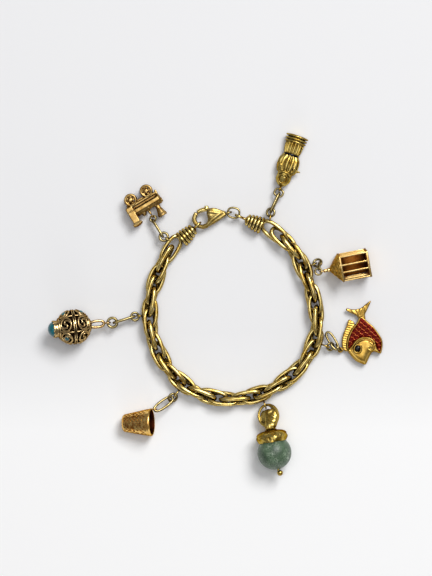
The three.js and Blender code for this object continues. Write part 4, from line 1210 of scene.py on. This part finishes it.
def make_thimble():
    """A thimble with its tip at the origin and its open end at +X, where an eye hangs it."""
    end, lining_end = THIMBLE_LENGTH, BAND_RADIUS - THIMBLE_WALL
    knurl = [KNURL_FIRST + (KNURL_LAST - KNURL_FIRST) * i / KNURL_ROWS for i in range(KNURL_ROWS + 1)]
    profile = [(0.0, 0), (0.03, TIP_RADIUS * 0.35), (0.12, TIP_RADIUS * 0.65),
               (0.4, TIP_RADIUS * 0.88), (THIMBLE_CROWN, TIP_RADIUS),
               *[(x, thimble_radius(x)) for x in knurl],
               (end - 0.95, MOUTH_RADIUS - 0.02), (end - 0.8, BAND_RADIUS - 0.04),
               (end - 0.15, BAND_RADIUS), (end + 0.03, BAND_RADIUS - 0.12),
               (end + 0.08, BAND_RADIUS - 0.3), (end + 0.02, lining_end)]
    shell = knurled(turned(profile, KNURL_COLUMNS))
    eye = upright_ring(0.8, 0.5, x=end + 1.15, y=BAND_RADIUS - 0.25)
    tab = block((end - 0.3, end + 0.4), (BAND_RADIUS - 0.5, BAND_RADIUS), (-0.3, 0.3), edge=0.08)
    piece("thimble_knurled_shell", [shell, eye, tab], KNURLED_GOLD, ["thimble"], "thimble")
    # The lining is painted dark red-brown for the shade inside the thimble's mouth.
    lining = turned([(end + 0.02, lining_end), (end - 0.2, MOUTH_RADIUS - THIMBLE_WALL),
                     (end - 1.2, MOUTH_RADIUS - THIMBLE_WALL), (1.6, TIP_RADIUS - THIMBLE_WALL + 0.1),
                     (1.2, TIP_RADIUS - THIMBLE_WALL - 0.5), (1.0, 0.8), (0.98, 0)], 52)
    bmesh.ops.reverse_faces(lining, faces=lining.faces)
    piece("thimble_lining", [lining], THIMBLE_SHADE_GOLD, ["thimble"], "thimble")


# ------------------------------------------------------------------ openwork fob

# The openwork lies on a ball of this radius, in rings of cells tilted to each side of the middle.
FOB_SKIN, FOB_CELLS, FOB_FIRST_CELL, FOB_TILT = 5.85, 6, 103, 31
FOB_WINDOW_RADIUS = 1.5
# The cells, by number and side, that carry a small stone.
FOB_STONES = [(1, 1), (1, -1), (3, 1), (3, -1), (5, 1)]


def on_fob(along_degrees, round_degrees):
    """A point on the ball: along tips it from the equator towards +X, round turns it about X."""
    tip, turn = math.radians(along_degrees), math.radians(round_degrees)
    outward = Vector((math.sin(tip), math.cos(tip) * math.cos(turn), math.cos(tip) * math.sin(turn)))
    return outward * FOB_SKIN


def fob_cell_turn(cell):
    return cell * 360 / FOB_CELLS + FOB_FIRST_CELL


def fob_cell(cell, side):
    """Where a cell's middle is, and its two directions on the ball."""
    middle = on_fob(side * FOB_TILT, fob_cell_turn(cell))
    outward = middle.normalized()
    across = outward.cross(X_AXIS).normalized()
    return middle, across.cross(outward), across


def wire_on_fob(cell, side, points, wire, lift, closed=False):
    """A wire that lies on the ball along points given in a cell's two directions."""
    middle, along, across = fob_cell(cell, side)
    line = [(middle + along * p.x + across * p.y).normalized() * (FOB_SKIN + lift)
            for p in smooth_line(points, 4, closed=closed)]
    if closed:
        line += [line[0].copy(), line[1].copy()]
    ups = [point.normalized() for point in line]
    return swept(line, (wire / 2, wire / 2), up=ups, sides=10) if closed else bar(line, wire, up=ups)


def fob_hoop(x, radius, half_width, half_depth):
    """A flat wire hoop round the X axis."""
    corners = ((-1, -1), (-1, 0.5), (-0.6, 1), (0.6, 1), (1, 0.5), (1, -1))
    return turned([(x + half_width * along, radius + half_depth * out) for along, out in corners],
                  72, closed=True)


def fob_cell_wires(cell, side):
    """One cell of the openwork: an oval frame, two facing scrolls, and a strut beside it."""
    strut_turn = fob_cell_turn(cell) + 180 / FOB_CELLS
    strut = [on_fob(side * tip, strut_turn) for tip in (5, 14, 24, 34, 44, 54, 60)]
    frame_line = [(2.0 * math.cos(turn), 2.3 * math.sin(turn))
                  for turn in (FULL_TURN * i / 12 for i in range(12))]
    scroll = [(1.7, 0.3), (0.9, 1.25), (-0.3, 1.15), (-0.35, 0.2), (0.35, -0.2), (0.3, -1.15),
              (-0.9, -1.25), (-1.7, -0.3)]
    return [bar(strut, 0.66, up=[point.normalized() for point in strut]),
            wire_on_fob(cell, side, frame_line, 0.66, 0.1, closed=True),
            wire_on_fob(cell, side, scroll, 0.62, 0.06)]


def fob_stone(cell, side):
    """A small round turquoise in its collet, standing out of the middle of a cell."""
    middle = fob_cell(cell, side)[0]
    seat = middle + middle.normalized() * 0.12
    collet = turned([(-0.6, 0), (-0.6, 0.95), (0.1, 1.05), (0.2, 0.95), (0.12, 0.82), (-0.1, 0)], 28)
    stone = ball(0.84, 24, 12, squash=0.55)
    return [moved(aimed(shape, axis, seat), x=seat.x, y=seat.y, z=seat.z)
            for shape, axis in ((collet, X_AXIS), (stone, Z_AXIS))]


def pierced_shell():
    """The hollow shell under the openwork, with a round window behind every cell."""
    inner = ball(FOB_SKIN - 0.8, 40, 24)
    bmesh.ops.reverse_faces(inner, faces=inner.faces)
    shell = gathered([ball(FOB_SKIN - 0.35, 48, 28), inner])
    windows = [aimed(rod(3.5, 7.0, FOB_WINDOW_RADIUS, 16), X_AXIS, fob_cell(cell, side)[0])
               for cell in range(FOB_CELLS) for side in (-1, 1)]
    return cut(shell, gathered(windows))


def fob_ends():
    """The clawed seat of the cabochon at one end, and the cap and bail at the other."""
    seat = turned([(4.7, 2.2), (4.75, 3.2), (5.3, 3.25), (5.5, 2.95), (6.2, 2.9), (6.5, 3.05),
                   (6.9, 3.05), (7.0, 2.8), (6.8, 2.4)], 56, closed=True)
    claws, claw_ring = 12, 2.82
    turns = [FULL_TURN * (claw + 0.5) / claws for claw in range(claws)]
    beads = [ball(0.34, 14, 8, x=6.95, y=claw_ring * math.cos(turn), z=claw_ring * math.sin(turn))
             for turn in turns]
    cap = turned([(-6.3, 0), (-6.3, 1.5), (-5.9, 2.3), (-5.3, 2.9), (-5.1, 2.3), (-5.1, 0)], 48)
    return [seat, *beads, cap, wire_ring(5.8, 3.15, 1.0, x=-8.4), upright_ring(0.95, 0.6, x=-12.05)]


def make_fob():
    """A hollow ball of openwork cells, a cabochon at one end and a bail at the other."""
    # The shell under the openwork is painted almost black for the shade inside the ball.
    piece("fob_pierced_shell", [pierced_shell()], BALL_SHADE_GOLD, ["fob"], "fob")
    shapes = [fob_hoop(x, radius, half_width, half_depth) for x, radius, half_width, half_depth in (
        (0.33, FOB_SKIN, 0.17, 0.28), (-0.33, FOB_SKIN, 0.17, 0.28), (5.05, 3.3, 0.3, 0.35),
        (-5.1, 3.15, 0.3, 0.35))]
    stones = []
    for cell in range(FOB_CELLS):
        stud = block((-0.5, 0.5), (FOB_SKIN - 0.3, FOB_SKIN + 0.35), (-0.45, 0.45), edge=0.12)
        shapes.append(moved(stud, roll=fob_cell_turn(cell)))
        for side in (-1, 1):
            if (cell, side) in FOB_STONES:
                collet, stone = fob_stone(cell, side)
                shapes.append(collet)
                stones.append(stone)
            shapes += fob_cell_wires(cell, side)
    piece("fob_openwork_ball", shapes + fob_ends(), OPENWORK_GOLD, ["fob"], "fob")
    piece("fob_small_stones", stones, TURQUOISE, ["fob"], "fob")
    girdle, crown, rise = 2.64, 6.75, 2.2
    cabochon = [(6.2, 0), (6.2, girdle), (crown, girdle),
                *[(crown + rise * math.sin(a), girdle * math.cos(a))
                  for a in (math.radians(angle) for angle in range(10, 90, 10))], (crown + rise, 0)]
    piece("fob_cabochon", [turned(cabochon, 48)], TURQUOISE, ["fob_stone"], "fob")


make_chain()
make_clasp()
make_hangers()
make_locomotive()
make_figure()
make_cage()
make_fish()
make_bead()
make_thimble()
make_fob()

# ------------------------------------------------------------------ floor, light and camera

FLOOR_SIZE = 1.6
# The floor's tone turns from light to lighter between these two places along Y: painted light, darker
# towards +Y.
FLOOR_TONE_FAR, FLOOR_TONE_NEAR = -0.01, -0.045
# Square area lights that point at the middle of the table: place, size and power.
SOFTBOXES = {
    "key_softbox": ((0.63, 0.93, 1.5), 0.8, 27.0),
    "top_softbox": ((-0.1, 0.1, 1.4), 0.9, 5.0),
    "low_softbox": ((0.1, -1.0, 0.35), 0.4, 1.0),
}
# The camera looks straight down. The view's width is measured at the height that it aims at.
CAMERA_HEIGHT, AIM_HEIGHT, VIEW_WIDTH, CAMERA_SHIFT_Y = 0.9, 4 * MM, 151.2 * MM, 5.5 * MM
SENSOR = 36.0


def make_floor():
    shape = bmesh.new()
    bmesh.ops.create_grid(shape, x_segments=8, y_segments=8, size=FLOOR_SIZE / 2)
    material, tree, surface, place = new_material("card_matt_pale")
    # Painted light: the floor's colour grows lighter towards -Y.
    split = add(tree, "ShaderNodeSeparateXYZ", {"Vector": place})
    slope = add(tree, "ShaderNodeMapRange",
                {"Value": split.outputs["Y"], "From Min": FLOOR_TONE_NEAR,
                 "From Max": FLOOR_TONE_FAR, "To Min": 1.0, "To Max": 0.0})
    tone = add(tree, "ShaderNodeValToRGB", {"Fac": slope.outputs["Result"]},
               stops=[(0.0, colour("#E8E8E9")), (1.0, colour("#F6F6F6"))])
    feed(surface, {"Base Color": tone.outputs["Color"], "Roughness": 0.9, "Specular IOR Level": 0.1})
    floor = new_object("floor", mesh_of(shape, "floor"))
    floor.data.materials.append(material)


def make_lights():
    for name, (place, size, power) in SOFTBOXES.items():
        lamp = bpy.data.lights.new(name, "AREA")
        lamp.shape, lamp.size, lamp.energy = "SQUARE", size, power
        made = new_object(name, lamp)
        made.location = place
        made.rotation_euler = (-Vector(place)).to_track_quat("-Z", "Y").to_euler()
    world = bpy.data.worlds.new("studio")
    world.use_nodes = True
    feed(world.node_tree.nodes["Background"], {"Color": colour("#A9A9AB"), "Strength": 0.5})
    bpy.context.scene.world = world


def make_camera():
    camera = bpy.data.cameras.new("camera")
    camera.sensor_fit, camera.sensor_width = "HORIZONTAL", SENSOR
    camera.lens = SENSOR * (CAMERA_HEIGHT - AIM_HEIGHT) / VIEW_WIDTH
    camera.clip_start, camera.clip_end = 0.01, 10.0
    made = new_object("camera", camera)
    made.location = TABLE_ORIGIN + Vector((0, CAMERA_SHIFT_Y, CAMERA_HEIGHT))
    bpy.context.scene.camera = made


make_floor()
make_lights()
make_camera()
bpy.context.scene.view_settings.view_transform = "Standard"
